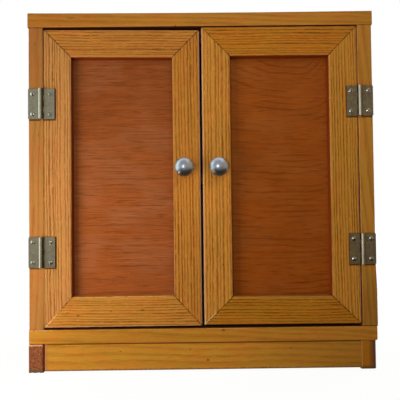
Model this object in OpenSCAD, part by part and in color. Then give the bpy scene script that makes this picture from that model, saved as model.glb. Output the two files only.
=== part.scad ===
// Tabletop cupboard: a butt-jointed pine case on a plinth, with two inset
// doors. Each door is a mitred, rebated frame around a plywood panel, hung on
// two face-fixed butt hinges and pulled by a domed metal knob.
// Millimetres. X runs to the right, Y to the back and Z up. The origin is the
// bottom centre of the whole cupboard, knobs included.

/* [Case] */
// Outer width across the two sides
case_w = 455; // [320:5:800]
// Depth from the front edges to the outside of the back panel
case_d = 225; // [160:5:400]
// Clear height between the bottom board and the top board
opening_h = 398; // [300:1:800]
// Thickness of the case boards
board_t = 19; // [16:0.5:25]
// How far the top board stands past each side
top_overhang = 1; // [0.5:0.5:10]
// Radius of the eased arrises on the case boards
arris_r = 1.5; // [0.5:0.25:3]
// Thickness of the back panel
back_t = 4; // [3:0.5:9]
// How far the back panel's edges stay inside the case's outline
back_inset = 2; // [0:0.5:5]
// Radius of the bottom board's worn lower right corner
worn_corner_r = 2.5; // [1:0.5:6]

/* [Plinth] */
// Height of the two runners that carry the case
plinth_h = 37; // [25:1:80]
// Thickness of the left runner and of the boards between the runners
plinth_t = 19; // [14:0.5:25]
// Thickness of the right runner
right_runner_t = 21; // [14:0.5:25]
// How far the left runner stands outside the left side
left_runner_out = 1; // [0:0.5:4]
// How far the right runner stays inside the right side
right_runner_in = 0.5; // [0:0.5:8]
// How far the left runner's front end stays behind the case's front
left_runner_back = 0; // [0:0.5:5]
// How far the right runner's front end stays behind the case's front
right_runner_back = 1.5; // [0:0.5:5]
// How far the runners' rear ends stay inside the back panel
runner_in = 4; // [1:0.5:20]
// How far the front board of the plinth stays behind the case's front
plinth_setback = 1.5; // [0:0.5:10]
// Air under the boards between the runners
plinth_lift = 1.5; // [0.5:0.5:8]
// Joint between the left runner and the boards, open because the wood shrank
plinth_shrink = 2; // [0:0.25:3]
// Radius of the eased upper and front arrises of the runners
runner_arris_r = 2; // [1:0.5:5]
// Radius of the right runner's worn outer front edge
runner_worn_r = 5; // [2:0.5:8]
// Leg of the triangular glue blocks in the plinth's corners
glue_block = 28; // [15:1:40]

/* [Shelf] */
// Height of the shelf's upper face above the bottom board
shelf_up = 205; // [110:1:220]
// Thickness of the shelf
shelf_t = 15; // [9:0.5:22]
// Distance from the doors' inner face to the shelf's front edge
shelf_setback = 12; // [8:1:60]
// Width of a shelf cleat, measured across the cupboard
cleat_w = 14; // [10:1:25]
// Height of a shelf cleat
cleat_h = 20; // [16:1:35]
// Length by which a cleat stops short of the shelf's front edge
cleat_short = 15; // [0:1:40]

/* [Doors] */
// Thickness of the door frames
door_t = 19; // [16:0.5:25]
// Width of the left door's stiles
left_stile_w = 36.5; // [33:0.5:55]
// Width of the left door's top rail
left_top_rail_w = 37; // [33:0.5:55]
// Width of the left door's bottom rail
left_bottom_rail_w = 40; // [33:0.5:55]
// Width of the right door's stiles
right_stile_w = 38; // [33:0.5:55]
// Width of the right door's top rail
right_top_rail_w = 39; // [33:0.5:55]
// Width of the right door's bottom rail
right_bottom_rail_w = 37; // [33:0.5:55]
// Radius of the eased arrises on the door frames
frame_arris_r = 2; // [0.5:0.25:2.5]
// Gap between each door and the side it hangs on
hinge_gap = 1; // [0.5:0.25:3]
// Gap between the two doors
middle_gap = 2.6; // [2.6:0.1:5]
// Gap above the left door at its hinges
left_top_gap = 2.6; // [1:0.1:5]
// Gap below the left door at its hinges
left_bottom_gap = 2.1; // [1:0.1:5]
// How much the left door's top edge falls towards the middle
left_fall = 2.4; // [0:0.1:4]
// How much the left door's bottom edge rises towards the middle
left_rise = 0.7; // [0:0.1:4]
// Gap above the right door
right_top_gap = 1.5; // [1:0.1:5]
// Gap below the right door at its hinges
right_bottom_gap = 2.9; // [1:0.1:5]
// How much the right door's bottom edge rises towards the middle
right_rise = 0.5; // [0:0.1:4]
// Width of the panel rebate inside the frame
rebate_w = 9; // [6:0.5:14]
// Depth of the panel rebate, measured from the frame's back
rebate_d = 8; // [6:0.5:10]
// Thickness of the door panels
panel_t = 5; // [3:0.5:6]
// Clearance round the panel's edge in the rebate
panel_clear = 1; // [0.3:0.1:2]

/* [Hinges] */
// Height of a hinge
hinge_h = 40; // [30:1:60]
// Distance from the pin's axis to a leaf's free edge
leaf_w = 17.4; // [14:0.1:17.5]
// Thickness of a leaf
leaf_t = 1.5; // [1:0.1:2]
// Outer radius of the knuckles
barrel_r = 3; // [2.6:0.1:4]
// Radius of the hinge pin
pin_r = 1.5; // [1:0.1:1.6]
// Number of knuckles on a hinge, an odd number
knuckles = 5; // [3:2:7]
// Distance from the bottom board to the middle of a lower hinge
lower_hinge_up = 101; // [60:1:140]
// Distance from the top board to the middle of an upper hinge
upper_hinge_drop = 102; // [60:1:140]
// Distance from a leaf's free edge to its screws
leaf_screw_in = 6; // [5:0.25:7]
// Distance from a leaf's end to its screws
leaf_screw_end = 6.7; // [5:0.1:9]

/* [Knobs] */
// Radius of the knob's head
knob_head_r = 12.5; // [9:0.5:18]
// Radius of the knob's foot
knob_foot_r = 8; // [6:0.5:12]
// Height of the knob's foot
knob_foot_h = 2; // [1.5:0.5:4]
// Radius of the knob's neck
knob_neck_r = 4.8; // [4:0.2:6]
// Height of the domed front of the knob
knob_dome_h = 6.5; // [6:0.5:12]
// Distance from the door's face to the tip of the knob
knob_reach = 25; // [22:0.5:35]
// Distance from the doors' meeting edges to the knobs' axes
knob_in = 21; // [16:0.5:23]
// Height of the knobs above the bottom board
knob_up = 209.5; // [120:0.5:300]

/* [Catch] */
// Width of the magnetic catch behind the meeting stiles
catch_w = 58; // [50:1:80]
// Depth of the catch
catch_d = 14; // [11:0.5:20]
// Height of the catch
catch_h = 15; // [14:0.5:20]
// Width of a strike plate
strike_w = 26; // [22:1:40]
// Height of a strike plate
strike_h = 11; // [9:0.5:14]
// Thickness of a strike plate
strike_t = 1.2; // [0.8:0.1:2]

/* [Fasteners] */
// Shank radius of the hinge screws
screw_r = 1.5; // [1.2:0.1:1.8]
// Length of the hinge screws in the wood
screw_len = 14; // [8:1:15]
// Shank radius of the case nails
nail_r = 1.2; // [0.8:0.1:1.6]
// Length of the case nails
nail_len = 42; // [32:1:55]
// Depth to which the case nails are punched below the surface
nail_sink = 0.8; // [0.3:0.1:2]
// Shank radius of the panel pins
pin_nail_r = 0.8; // [0.6:0.1:1]
// Length of the pins that hold the back panel
back_pin_len = 18; // [12:1:25]
// Length of the pins that hold the door panels
panel_pin_len = 11; // [8:1:12]
// Length of the pins across the frames' mitres
mitre_pin_len = 32; // [26:1:40]
// Radius of the knob's machine screw
bolt_r = 2; // [1.5:0.1:2.5]

/* [Hidden] */
$fn = 48;
eps = 0.01;
run_fit = 0.05;      // radial clearance of pins, screws and nails in their holes
seat_gap = 0.3;      // clearance of pieces that slide or drop into place

overall_d = case_d + knob_reach;
front_y = knob_reach - overall_d / 2;
rear_y = front_y + case_d;
carcass_d = case_d - back_t;
inner_x = case_w / 2 - board_t;
floor_z = plinth_h + board_t;
ceil_z = floor_z + opening_h;
top_z = ceil_z + board_t;

plinth_left_x = -case_w / 2 - left_runner_out;
plinth_right_x = case_w / 2 - right_runner_in;

door_back_y = front_y + door_t;
shelf_z = floor_z + shelf_up - shelf_t;
shelf_y = door_back_y + shelf_setback;
shelf_d = front_y + carcass_d - seat_gap - shelf_y;
cleat_len = shelf_d - cleat_short;
cleat_y = shelf_y + cleat_short;

door_w = inner_x - hinge_gap - middle_gap / 2;
LEFT = 0;
RIGHT = 1;
door_h = [opening_h - left_top_gap - left_bottom_gap,
          opening_h - right_top_gap - right_bottom_gap];
door_z = [floor_z + left_bottom_gap, floor_z + right_bottom_gap];
door_fall = [left_fall, 0];
door_rise = [left_rise, right_rise];
stile_w = [left_stile_w, right_stile_w];
top_rail_w = [left_top_rail_w, right_top_rail_w];
bottom_rail_w = [left_bottom_rail_w, right_bottom_rail_w];
panel_front = door_t - rebate_d;             // depth of the panel's face behind the frame's

barrel_clear = 0.2;                          // air behind the knuckles
knuckle_clear = 0.4;                         // air beside the other leaf's knuckles
knuckle_gap = 0.2;                           // air between neighbouring knuckles
pin_over_side = 1.5;                         // how far the pin's axis lies over the side
pin_proud = 0.3;                             // how far the pin's ends stand out of the knuckles
hinge_x = inner_x + pin_over_side;
hinge_y = front_y - barrel_r - barrel_clear;
leaf_back = barrel_r + barrel_clear;         // wood's face, measured from the pin's axis
leaf_screw_x = leaf_w - leaf_screw_in;
leaf_corner_r = 1;
knuckle_h = hinge_h / knuckles;

screw_head_r = 2 * screw_r;
screw_dome = 0.9;
screw_tip_r = 0.3;
slot_w = 0.8;
slot_d = 0.7;
pin_head_r = 2 * pin_nail_r;
pin_head_h = 0.6;
small_screw_r = 1.3;
small_head_r = 2.6;
small_head_h = small_head_r - small_screw_r;

knob_rim_z = knob_reach - knob_dome_h;
knob_rim_h = 1.2;
knob_flare_h = 6;                            // from the neck's end to the rim
knob_z = [floor_z + knob_up - door_z[LEFT], floor_z + knob_up - door_z[RIGHT]];
thread_len = 9;                              // length of the knob's blind hole
thread_spare = 1;                            // air at the end of that hole
washer_r = 2.4 * bolt_r;
washer_t = 1;
bolt_head_r = 2 * bolt_r;
bolt_head_h = 1.2 * bolt_r;

shelf_arris_r = 1;
cleat_screw_bite = 12;                       // length of a cleat's screws in the side
cleat_screw_len = cleat_w + cleat_screw_bite;

strike_edge = 5;                             // strike plate from the meeting edge
strike_top = 2;                              // strike plate from the door's top
strike_corner_r = 1.5;
strike_screw_in = 5;                         // strike plate's screws from its ends
strike_screw_len = 9;
catch_corner_r = 2;
catch_screw_x = catch_w / 2 - 5;
catch_screw_bite = 10;                       // length of the catch's screws in the top board
catch_screw_len = catch_h + catch_screw_bite;
magnet_out = 0.5;                            // how far a magnet stands out of the catch
magnet_drop = 10;                            // middle of the magnets below the top board
magnet_h = 5;
magnet_wall = 3;                             // plastic behind a magnet
magnet_x = middle_gap / 2 + strike_edge;
magnet_w = catch_screw_x - small_head_r - 1 - magnet_x;
catch_y = door_back_y + strike_t + seat_gap + magnet_out;

nail_end = 28;                               // outer nails from the ends of the row
back_pin_spread = [0.2, 0.5, 0.8];           // places of the back's pins up each side
back_pin_row = [-0.6, 0, 0.6];               // places of the back's pins along top and bottom

mitre_pin_in = 15;                           // mitre pins from the door's corners
mitre_pin_depths = [6, 13];                  // mitre pins behind the door's face

PINE = "#b87a34";
FRAME_PINE = "#c08a45";
RED_PLY = "#8a4520";
BACK_PLY = "#c9a26b";
OLD_NICKEL = "#8b8674";
CHROME = "#c8cbd0";
BROWN_PLASTIC = "#4a3326";
IRON = "#5a5a5c";

// Sections and directions

// Rectangle with its lower-left corner at the origin. Corners named in
// `eased` are rounded: 0 lower left, 1 lower right, 2 upper right, 3 upper left.
module eased_square(a, b, r, eased) {
  spots = [[0, 0], [a, 0], [a, b], [0, b]];
  inward = [[1, 1], [-1, 1], [-1, -1], [1, -1]];
  difference() {
    square([a, b]);
    for (i = eased)
      translate(spots[i]) difference() {
        square(2 * r, center = true);
        translate(inward[i] * r) circle(r);
      }
  }
}

// Extrudes a section drawn in Y and Z along +X.
module along_x(length) rotate([90, 0, 90]) linear_extrude(length) children();

// Extrudes a section drawn in X and Z along +Y.
module along_y(length) translate([0, length, 0]) rotate([90, 0, 0]) linear_extrude(length) children();

// Turns children that point along +Z so that they point at the viewer, along -Y.
module facing_front() rotate([90, 0, 0]) children();

// Turns children that point along +Z so that they point along +Y.
module facing_back() rotate([-90, 0, 0]) children();

// Mirrors children onto the right half when side is RIGHT.
module on_side(side) {
  if (side == RIGHT) mirror([1, 0, 0]) children();
  else children();
}

// Fasteners. Each stands on the XY plane of the surface it enters: its head
// is at z = 0 and its shank runs down.

module raised_screw(turn = 0) {
  dome_r = (screw_head_r * screw_head_r + screw_dome * screw_dome) / (2 * screw_dome);
  difference() {
    union() {
      intersection() {
        translate([0, 0, screw_dome - dome_r]) sphere(dome_r);
        cylinder(r = screw_head_r, h = screw_dome);
      }
      translate([0, 0, -leaf_t]) cylinder(r1 = screw_r, r2 = screw_head_r, h = leaf_t);
      translate([0, 0, -leaf_t - screw_len + screw_r]) cylinder(r = screw_r, h = screw_len);
      translate([0, 0, -leaf_t - screw_len]) cylinder(r1 = screw_tip_r, r2 = screw_r, h = screw_r);
    }
    rotate([0, 0, turn]) translate([-screw_head_r, -slot_w / 2, screw_dome - slot_d])
      cube([2 * screw_head_r, slot_w, 2 * slot_d]);
  }
}

module raised_screw_hole() {
  translate([0, 0, -leaf_t - eps])
    cylinder(r1 = screw_r + run_fit, r2 = screw_head_r + run_fit, h = leaf_t + eps);
  cylinder(r = screw_head_r + run_fit, h = 1);
  translate([0, 0, -leaf_t - screw_len - run_fit])
    cylinder(r = screw_r + run_fit, h = screw_len + leaf_t);
}

module flush_screw(length, turn = 0) difference() {
  union() {
    translate([0, 0, -small_head_h]) cylinder(r1 = small_screw_r, r2 = small_head_r, h = small_head_h);
    translate([0, 0, -length]) cylinder(r = small_screw_r, h = length);
  }
  rotate([0, 0, turn]) translate([-small_head_r, -slot_w / 2, -slot_d])
    cube([2 * small_head_r, slot_w, 2 * slot_d]);
}

module flush_screw_hole(length) {
  translate([0, 0, -small_head_h])
    cylinder(r1 = small_screw_r + run_fit, r2 = small_head_r + run_fit, h = small_head_h);
  cylinder(r = small_head_r + run_fit, h = 1);
  translate([0, 0, -length - run_fit]) cylinder(r = small_screw_r + run_fit, h = length);
}

module panel_pin(length) {
  translate([0, 0, -pin_head_h]) cylinder(r = pin_head_r, h = pin_head_h);
  translate([0, 0, -length]) cylinder(r = pin_nail_r, h = length);
}

module panel_pin_hole(length) {
  translate([0, 0, -pin_head_h]) cylinder(r = pin_head_r + run_fit, h = pin_head_h + 1);
  translate([0, 0, -length - run_fit]) cylinder(r = pin_nail_r + run_fit, h = length + 1);
}

// A nail whose head is punched in by `sink`; the hole reaches the surface.
module sunk_nail(r, length, sink) translate([0, 0, -length - sink]) cylinder(r = r, h = length);

module sunk_nail_hole(r, length, sink)
  translate([0, 0, -length - sink - run_fit]) cylinder(r = r + run_fit, h = length + sink + 1);

// Places where the case's fasteners go

nail_x = case_w / 2 - board_t / 2;
nail_ys = [for (f = [0, 0.5, 1]) front_y + nail_end + f * (carcass_d - 2 * nail_end)];

module at_top_nails() for (x = [-nail_x, nail_x], y = nail_ys) translate([x, y, top_z]) children();

module at_bottom_nails()
  for (x = [-nail_x, nail_x], y = nail_ys) translate([x, y, plinth_h]) mirror([0, 0, 1]) children();

module at_back_pins() {
  for (x = [-nail_x, nail_x], f = back_pin_spread)
    translate([x, rear_y, floor_z + f * opening_h]) facing_back() children();
  for (f = back_pin_row, z = [plinth_h + board_t / 2, top_z - board_t / 2])
    translate([f * inner_x, rear_y, z]) facing_back() children();
}

module at_cleat_screws(side)
  for (f = [0.2, 0.8])
    on_side(side) translate([cleat_w - inner_x, cleat_y + f * cleat_len, shelf_z - cleat_h / 2])
      rotate([0, 90, 0]) children();

module at_catch_screws()
  for (x = [-catch_screw_x, catch_screw_x])
    translate([x, catch_y + catch_d / 2, ceil_z - catch_h]) mirror([0, 0, 1]) children();

function hinge_z(upper) = upper ? ceil_z - upper_hinge_drop : floor_z + lower_hinge_up;

// Children are drawn round a pin's axis at the foot of a left-hand hinge.
module at_hinge(side, upper)
  on_side(side) translate([-hinge_x, hinge_y, hinge_z(upper) - hinge_h / 2]) children();

// Screw places on a leaf that lies towards +X (out = 1) or -X (out = -1) of the pin.
module at_leaf_screws(out)
  for (z = [leaf_screw_end, hinge_h - leaf_screw_end])
    translate([out * leaf_screw_x, leaf_back - leaf_t, z]) facing_front() children();

// Case

module top_board() {
  w = case_w + 2 * top_overhang;
  color(PINE) difference() {
    intersection() {
      translate([-w / 2, front_y, ceil_z])
        along_x(w) eased_square(carcass_d, board_t, arris_r, [0, 3]);
      translate([-w / 2, front_y, ceil_z])
        along_y(carcass_d) eased_square(w, board_t, arris_r, [2, 3]);
    }
    at_top_nails() sunk_nail_hole(nail_r, nail_len, nail_sink);
    at_back_pins() panel_pin_hole(back_pin_len);
    at_catch_screws() flush_screw_hole(catch_screw_len);
  }
}

module bottom_board() {
  color(PINE) difference() {
    translate([-case_w / 2, front_y, plinth_h]) intersection() {
      along_x(case_w) eased_square(carcass_d, board_t, arris_r, [0, 3]);
      along_y(carcass_d) eased_square(case_w, board_t, worn_corner_r, [1]);
    }
    at_bottom_nails() sunk_nail_hole(nail_r, nail_len, nail_sink);
    at_back_pins() panel_pin_hole(back_pin_len);
  }
}

module case_side(side) {
  color(PINE) difference() {
    on_side(side) translate([-case_w / 2, front_y, floor_z])
      linear_extrude(opening_h) eased_square(board_t, carcass_d, arris_r, [0, 1]);
    at_top_nails() sunk_nail_hole(nail_r, nail_len, nail_sink);
    at_bottom_nails() sunk_nail_hole(nail_r, nail_len, nail_sink);
    at_back_pins() panel_pin_hole(back_pin_len);
    at_cleat_screws(side) flush_screw_hole(cleat_screw_len);
    for (upper = [false, true]) at_hinge(side, upper) at_leaf_screws(-1) raised_screw_hole();
  }
}

module left_side() case_side(LEFT);
module right_side() case_side(RIGHT);

module back_panel() {
  color(BACK_PLY) difference() {
    translate([back_inset - case_w / 2, rear_y - back_t, plinth_h + back_inset])
      cube([case_w - 2 * back_inset, back_t, top_z - plinth_h - 2 * back_inset]);
    at_back_pins() panel_pin_hole(back_pin_len);
  }
}

module case_nails() color(IRON) {
  at_top_nails() sunk_nail(nail_r, nail_len, nail_sink);
  at_bottom_nails() sunk_nail(nail_r, nail_len, nail_sink);
}

module back_panel_pins() color(IRON) at_back_pins() panel_pin(back_pin_len);

// Plinth

// A runner whose front vertical edges have the radii outer_r, on the right, and runner_arris_r.
module runner(left_x, t, back, outer_r) {
  length = case_d - back - runner_in;
  translate([left_x, front_y + back, 0]) intersection() {
    along_y(length) eased_square(t, plinth_h, runner_arris_r, [2, 3]);
    linear_extrude(plinth_h) eased_square(t, length, runner_arris_r, [0]);
    linear_extrude(plinth_h) eased_square(t, length, outer_r, [1]);
  }
}

module left_runner() color(PINE) runner(plinth_left_x, plinth_t, left_runner_back, runner_arris_r);

right_runner_x = plinth_right_x - right_runner_t;

module right_runner() color(PINE)
  runner(right_runner_x, right_runner_t, right_runner_back, runner_worn_r);

plinth_board_x = plinth_left_x + plinth_t + plinth_shrink;
plinth_board_w = right_runner_x - plinth_board_x;
plinth_front_y = front_y + plinth_setback;
plinth_back_y = rear_y - runner_in - plinth_t;

module plinth_front() color(PINE)
  translate([plinth_board_x, plinth_front_y, plinth_lift])
    along_x(plinth_board_w) eased_square(plinth_t, plinth_h - plinth_lift, arris_r, [0]);

module plinth_back() color(PINE)
  translate([plinth_board_x, plinth_back_y, plinth_lift])
    cube([plinth_board_w, plinth_t, plinth_h - plinth_lift]);

module plinth_glue_blocks() color(PINE) {
  x0 = plinth_board_x;
  x1 = plinth_board_x + plinth_board_w;
  y0 = plinth_front_y + plinth_t;
  y1 = plinth_back_y;
  for (spot = [[x0, y0, 1, 1], [x1, y0, -1, 1], [x1, y1, -1, -1], [x0, y1, 1, -1]])
    translate([spot[0], spot[1], plinth_lift])
      linear_extrude(plinth_h - plinth_lift)
        polygon([[0, 0], [spot[2] * glue_block, 0], [0, spot[3] * glue_block]]);
}

// Shelf

module shelf() color(PINE)
  translate([seat_gap - inner_x, shelf_y, shelf_z])
    along_x(2 * (inner_x - seat_gap)) eased_square(shelf_d, shelf_t, shelf_arris_r, [0, 3]);

module shelf_cleat(side) color(PINE) difference() {
  on_side(side) translate([-inner_x, cleat_y, shelf_z - cleat_h]) cube([cleat_w, cleat_len, cleat_h]);
  at_cleat_screws(side) flush_screw_hole(cleat_screw_len);
}

module left_shelf_cleat() shelf_cleat(LEFT);
module right_shelf_cleat() shelf_cleat(RIGHT);

module cleat_screws() color(IRON)
  for (side = [LEFT, RIGHT]) at_cleat_screws(side) flush_screw(cleat_screw_len, 30);

// Catch

module magnet_slots(clear)
  for (side = [LEFT, RIGHT])
    on_side(side) translate([-magnet_x - magnet_w - clear, catch_y - magnet_out,
                             ceil_z - magnet_drop - magnet_h / 2 - clear])
      cube([magnet_w + 2 * clear, catch_d + magnet_out - magnet_wall, magnet_h + 2 * clear]);

module catch_body() color(BROWN_PLASTIC) difference() {
  translate([-catch_w / 2, catch_y, ceil_z - catch_h])
    linear_extrude(catch_h) eased_square(catch_w, catch_d, catch_corner_r, [0, 1, 2, 3]);
  magnet_slots(run_fit);
  at_catch_screws() flush_screw_hole(catch_screw_len);
}

module catch_magnets() color(IRON) magnet_slots(0);

module catch_screws() color(CHROME) at_catch_screws() flush_screw(catch_screw_len, 70);

// Doors are drawn for the left half: x = 0 at the hinge edge, y = 0 at the
// front face and z = 0 at the bottom edge.

module at_door(side) on_side(side) translate([hinge_gap - inner_x, front_y, door_z[side]]) children();

function fall_angle(side) = atan(door_fall[side] / door_w);
function rise_angle(side) = atan(door_rise[side] / door_w);

// Heights of the lines that lie `inset` inside the door's bottom and top edges.
function door_foot(side, x, inset) = x * tan(rise_angle(side)) + inset / cos(rise_angle(side));
function door_head(side, x, inset) =
  door_h[side] - x * tan(fall_angle(side)) - inset / cos(fall_angle(side));

// Corners of the door's outline moved inwards past the stiles, the bottom
// rail and the top rail: hinge foot, meeting foot, meeting head, hinge head.
function door_corners(side, stile, bottom, top) = [
  [stile, door_foot(side, stile, bottom)],
  [door_w - stile, door_foot(side, door_w - stile, bottom)],
  [door_w - stile, door_head(side, door_w - stile, top)],
  [stile, door_head(side, stile, top)]
];

// Corners of the opening inside the frame, moved outwards by `grow`.
function opening_corners(side, grow) =
  door_corners(side, stile_w[side] - grow, bottom_rail_w[side] - grow, top_rail_w[side] - grow);

// Section of a frame member, with its outer edge on x = 0 and its face on y = 0.
module frame_section(w) difference() {
  eased_square(w, door_t, frame_arris_r, [0, 1]);
  translate([w - rebate_w, panel_front]) square([rebate_w + 1, rebate_d + 1]);
}

// Point on the mitre line of a corner: 0 is at the door's outline, 1 at the opening.
function on_mitre(side, corner, f) =
  (1 - f) * door_corners(side, 0, 0, 0)[corner] + f * opening_corners(side, 0)[corner];

// Keeps the part of a member between the mitres at corners i and j.
module mitred(side, i, j) intersection() {
  children();
  translate([0, -1, 0]) along_y(door_t + 2)
    polygon([for (end = [[i, -0.1], [j, -0.1], [j, 1.1], [i, 1.1]]) on_mitre(side, end[0], end[1])]);
}

// A member's stock runs past the mitres at both ends.
module stile_stock(side)
  translate([0, 0, -1]) linear_extrude(door_h[side] + 2) frame_section(stile_w[side]);

module rail_stock(w) translate([-1, 0, 0]) along_x(door_w + 2) mirror([1, -1]) frame_section(w);

module at_mitre_pins(side)
  for (x = [mitre_pin_in, door_w - mitre_pin_in], y = mitre_pin_depths) {
    translate([x, y, door_foot(side, x, 0)]) mirror([0, 0, 1]) children();
    translate([x, y, door_head(side, x, 0)]) children();
  }

module at_panel_pins(side) {
  pins = opening_corners(side, rebate_w / 2);
  for (f = [0.08, 0.36, 0.64, 0.92], ends = [[0, 3], [1, 2]])
    at_panel_pin(pins[ends[0]] * (1 - f) + pins[ends[1]] * f) children();
  for (f = [0.3, 0.7], ends = [[0, 1], [3, 2]])
    at_panel_pin(pins[ends[0]] * (1 - f) + pins[ends[1]] * f) children();
}

module at_panel_pin(spot) translate([spot[0], panel_front + panel_t, spot[1]]) facing_back() children();

module at_strike_screws(side)
  for (x = [strike_screw_in, strike_w - strike_screw_in])
    translate([door_w - strike_edge - x, door_t + strike_t,
               door_head(side, door_w, strike_top + strike_h / 2)])
      facing_back() children();

module door_holes(side) {
  at_mitre_pins(side) sunk_nail_hole(pin_nail_r, mitre_pin_len, nail_sink);
  at_panel_pins(side) panel_pin_hole(panel_pin_len);
  at_strike_screws(side) flush_screw_hole(strike_screw_len);
  translate([door_w - knob_in, -1, knob_z[side]]) along_y(door_t + 2) circle(bolt_r + run_fit);
}

module frame_member(side, i, j) color(FRAME_PINE) difference() {
  at_door(side) difference() {
    mitred(side, i, j) children();
    door_holes(side);
  }
  for (upper = [false, true]) at_hinge(side, upper) at_leaf_screws(1) raised_screw_hole();
}

module hinge_stile(side) frame_member(side, 0, 3) stile_stock(side);

module meeting_stile(side)
  frame_member(side, 1, 2) translate([door_w, 0, 0]) mirror([1, 0, 0]) stile_stock(side);

module bottom_rail(side)
  frame_member(side, 0, 1) rotate([0, -rise_angle(side), 0]) rail_stock(bottom_rail_w[side]);

module top_rail(side)
  frame_member(side, 3, 2)
    translate([0, 0, door_h[side]]) rotate([0, fall_angle(side), 0]) mirror([0, 0, 1])
      rail_stock(top_rail_w[side]);

module left_door_hinge_stile() hinge_stile(LEFT);
module left_door_meeting_stile() meeting_stile(LEFT);
module left_door_top_rail() top_rail(LEFT);
module left_door_bottom_rail() bottom_rail(LEFT);
module right_door_hinge_stile() hinge_stile(RIGHT);
module right_door_meeting_stile() meeting_stile(RIGHT);
module right_door_top_rail() top_rail(RIGHT);
module right_door_bottom_rail() bottom_rail(RIGHT);

module door_panel(side) color(RED_PLY) at_door(side) difference() {
  translate([0, panel_front, 0]) along_y(panel_t)
    polygon(opening_corners(side, rebate_w - panel_clear));
  at_panel_pins(side) panel_pin_hole(panel_pin_len);
}

module left_door_panel() door_panel(LEFT);
module right_door_panel() door_panel(RIGHT);

module panel_pins(side) color(IRON) at_door(side) at_panel_pins(side) panel_pin(panel_pin_len);

module left_door_panel_pins() panel_pins(LEFT);
module right_door_panel_pins() panel_pins(RIGHT);

module mitre_pins(side) color(IRON)
  at_door(side) at_mitre_pins(side) sunk_nail(pin_nail_r, mitre_pin_len, nail_sink);

module left_door_mitre_pins() mitre_pins(LEFT);
module right_door_mitre_pins() mitre_pins(RIGHT);

// Hinges. Even knuckles belong to the case leaf and odd ones to the door leaf.

module leaf(out, first) difference() {
  plate_x = barrel_r + knuckle_clear;
  web_x = barrel_r / 2;
  web_w = plate_x - web_x + eps;
  union() {
    translate([out > 0 ? plate_x : -leaf_w, leaf_back - leaf_t, 0])
      along_y(leaf_t) eased_square(leaf_w - plate_x, hinge_h, leaf_corner_r, out > 0 ? [1, 2] : [0, 3]);
    for (i = [first:2:knuckles - 1])
      translate([0, 0, i * knuckle_h + knuckle_gap / 2]) {
        cylinder(r = barrel_r, h = knuckle_h - knuckle_gap);
        translate([out > 0 ? web_x : -web_x - web_w, leaf_back - leaf_t, 0])
          cube([web_w, leaf_t, knuckle_h - knuckle_gap]);
      }
  }
  translate([0, 0, -1]) cylinder(r = pin_r + run_fit, h = hinge_h + 2);
  at_leaf_screws(out) raised_screw_hole();
}

module case_leaf(side, upper) color(OLD_NICKEL) at_hinge(side, upper) leaf(-1, 0);
module door_leaf(side, upper) color(OLD_NICKEL) at_hinge(side, upper) leaf(1, 1);

module hinge_pin(side, upper) color(OLD_NICKEL)
  at_hinge(side, upper) translate([0, 0, -pin_proud]) cylinder(r = pin_r, h = hinge_h + 2 * pin_proud);

module left_upper_case_leaf() case_leaf(LEFT, true);
module left_lower_case_leaf() case_leaf(LEFT, false);
module right_upper_case_leaf() case_leaf(RIGHT, true);
module right_lower_case_leaf() case_leaf(RIGHT, false);
module left_upper_door_leaf() door_leaf(LEFT, true);
module left_lower_door_leaf() door_leaf(LEFT, false);
module right_upper_door_leaf() door_leaf(RIGHT, true);
module right_lower_door_leaf() door_leaf(RIGHT, false);
module left_upper_hinge_pin() hinge_pin(LEFT, true);
module left_lower_hinge_pin() hinge_pin(LEFT, false);
module right_upper_hinge_pin() hinge_pin(RIGHT, true);
module right_lower_hinge_pin() hinge_pin(RIGHT, false);

module leaf_screws(side, out, turn)
  for (upper = [false, true])
    at_hinge(side, upper) at_leaf_screws(out) raised_screw(turn + (upper ? 40 : 0));

module case_leaf_screws() color(CHROME) {
  leaf_screws(LEFT, -1, 75);
  leaf_screws(RIGHT, -1, 100);
}

module left_door_leaf_screws() color(CHROME) leaf_screws(LEFT, 1, 95);
module right_door_leaf_screws() color(CHROME) leaf_screws(RIGHT, 1, 60);

// Knobs

module at_knob(side) at_door(side) translate([door_w - knob_in, 0, knob_z[side]]) facing_front() children();

module knob(side) color(CHROME) at_knob(side) difference() {
  flare_z = knob_rim_z - knob_flare_h;
  dome_r = (knob_head_r * knob_head_r + knob_dome_h * knob_dome_h) / (2 * knob_dome_h);
  union() {
    cylinder(r1 = knob_foot_r, r2 = knob_foot_r - 1, h = knob_foot_h);
    cylinder(r = knob_neck_r, h = knob_rim_z - 1);
    translate([0, 0, flare_z])
      cylinder(r1 = knob_neck_r, r2 = knob_head_r, h = knob_flare_h - knob_rim_h);
    translate([0, 0, knob_rim_z - knob_rim_h]) cylinder(r = knob_head_r, h = knob_rim_h);
    intersection() {
      translate([0, 0, knob_reach - dome_r]) sphere(dome_r);
      translate([0, 0, knob_rim_z]) cylinder(r = knob_head_r, h = knob_dome_h + 1);
    }
  }
  translate([0, 0, -1]) cylinder(r = bolt_r + run_fit, h = thread_len + 1);
}

module left_knob() knob(LEFT);
module right_knob() knob(RIGHT);

module knob_bolt(side) color(IRON) at_knob(side) difference() {
  head_z = -door_t - washer_t;
  union() {
    translate([0, 0, head_z]) cylinder(r = bolt_r, h = thread_len - thread_spare - head_z);
    translate([0, 0, head_z - bolt_head_h]) cylinder(r = bolt_head_r, h = bolt_head_h);
  }
  translate([-bolt_head_r, -slot_w / 2, head_z - bolt_head_h - slot_d])
    cube([2 * bolt_head_r, slot_w, 2 * slot_d]);
}

module left_knob_bolt() knob_bolt(LEFT);
module right_knob_bolt() knob_bolt(RIGHT);

module knob_washer(side) color(IRON) at_knob(side) translate([0, 0, -door_t - washer_t]) difference() {
  cylinder(r = washer_r, h = washer_t);
  translate([0, 0, -1]) cylinder(r = bolt_r + run_fit, h = washer_t + 2);
}

module left_knob_washer() knob_washer(LEFT);
module right_knob_washer() knob_washer(RIGHT);

// Strike plates

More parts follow.
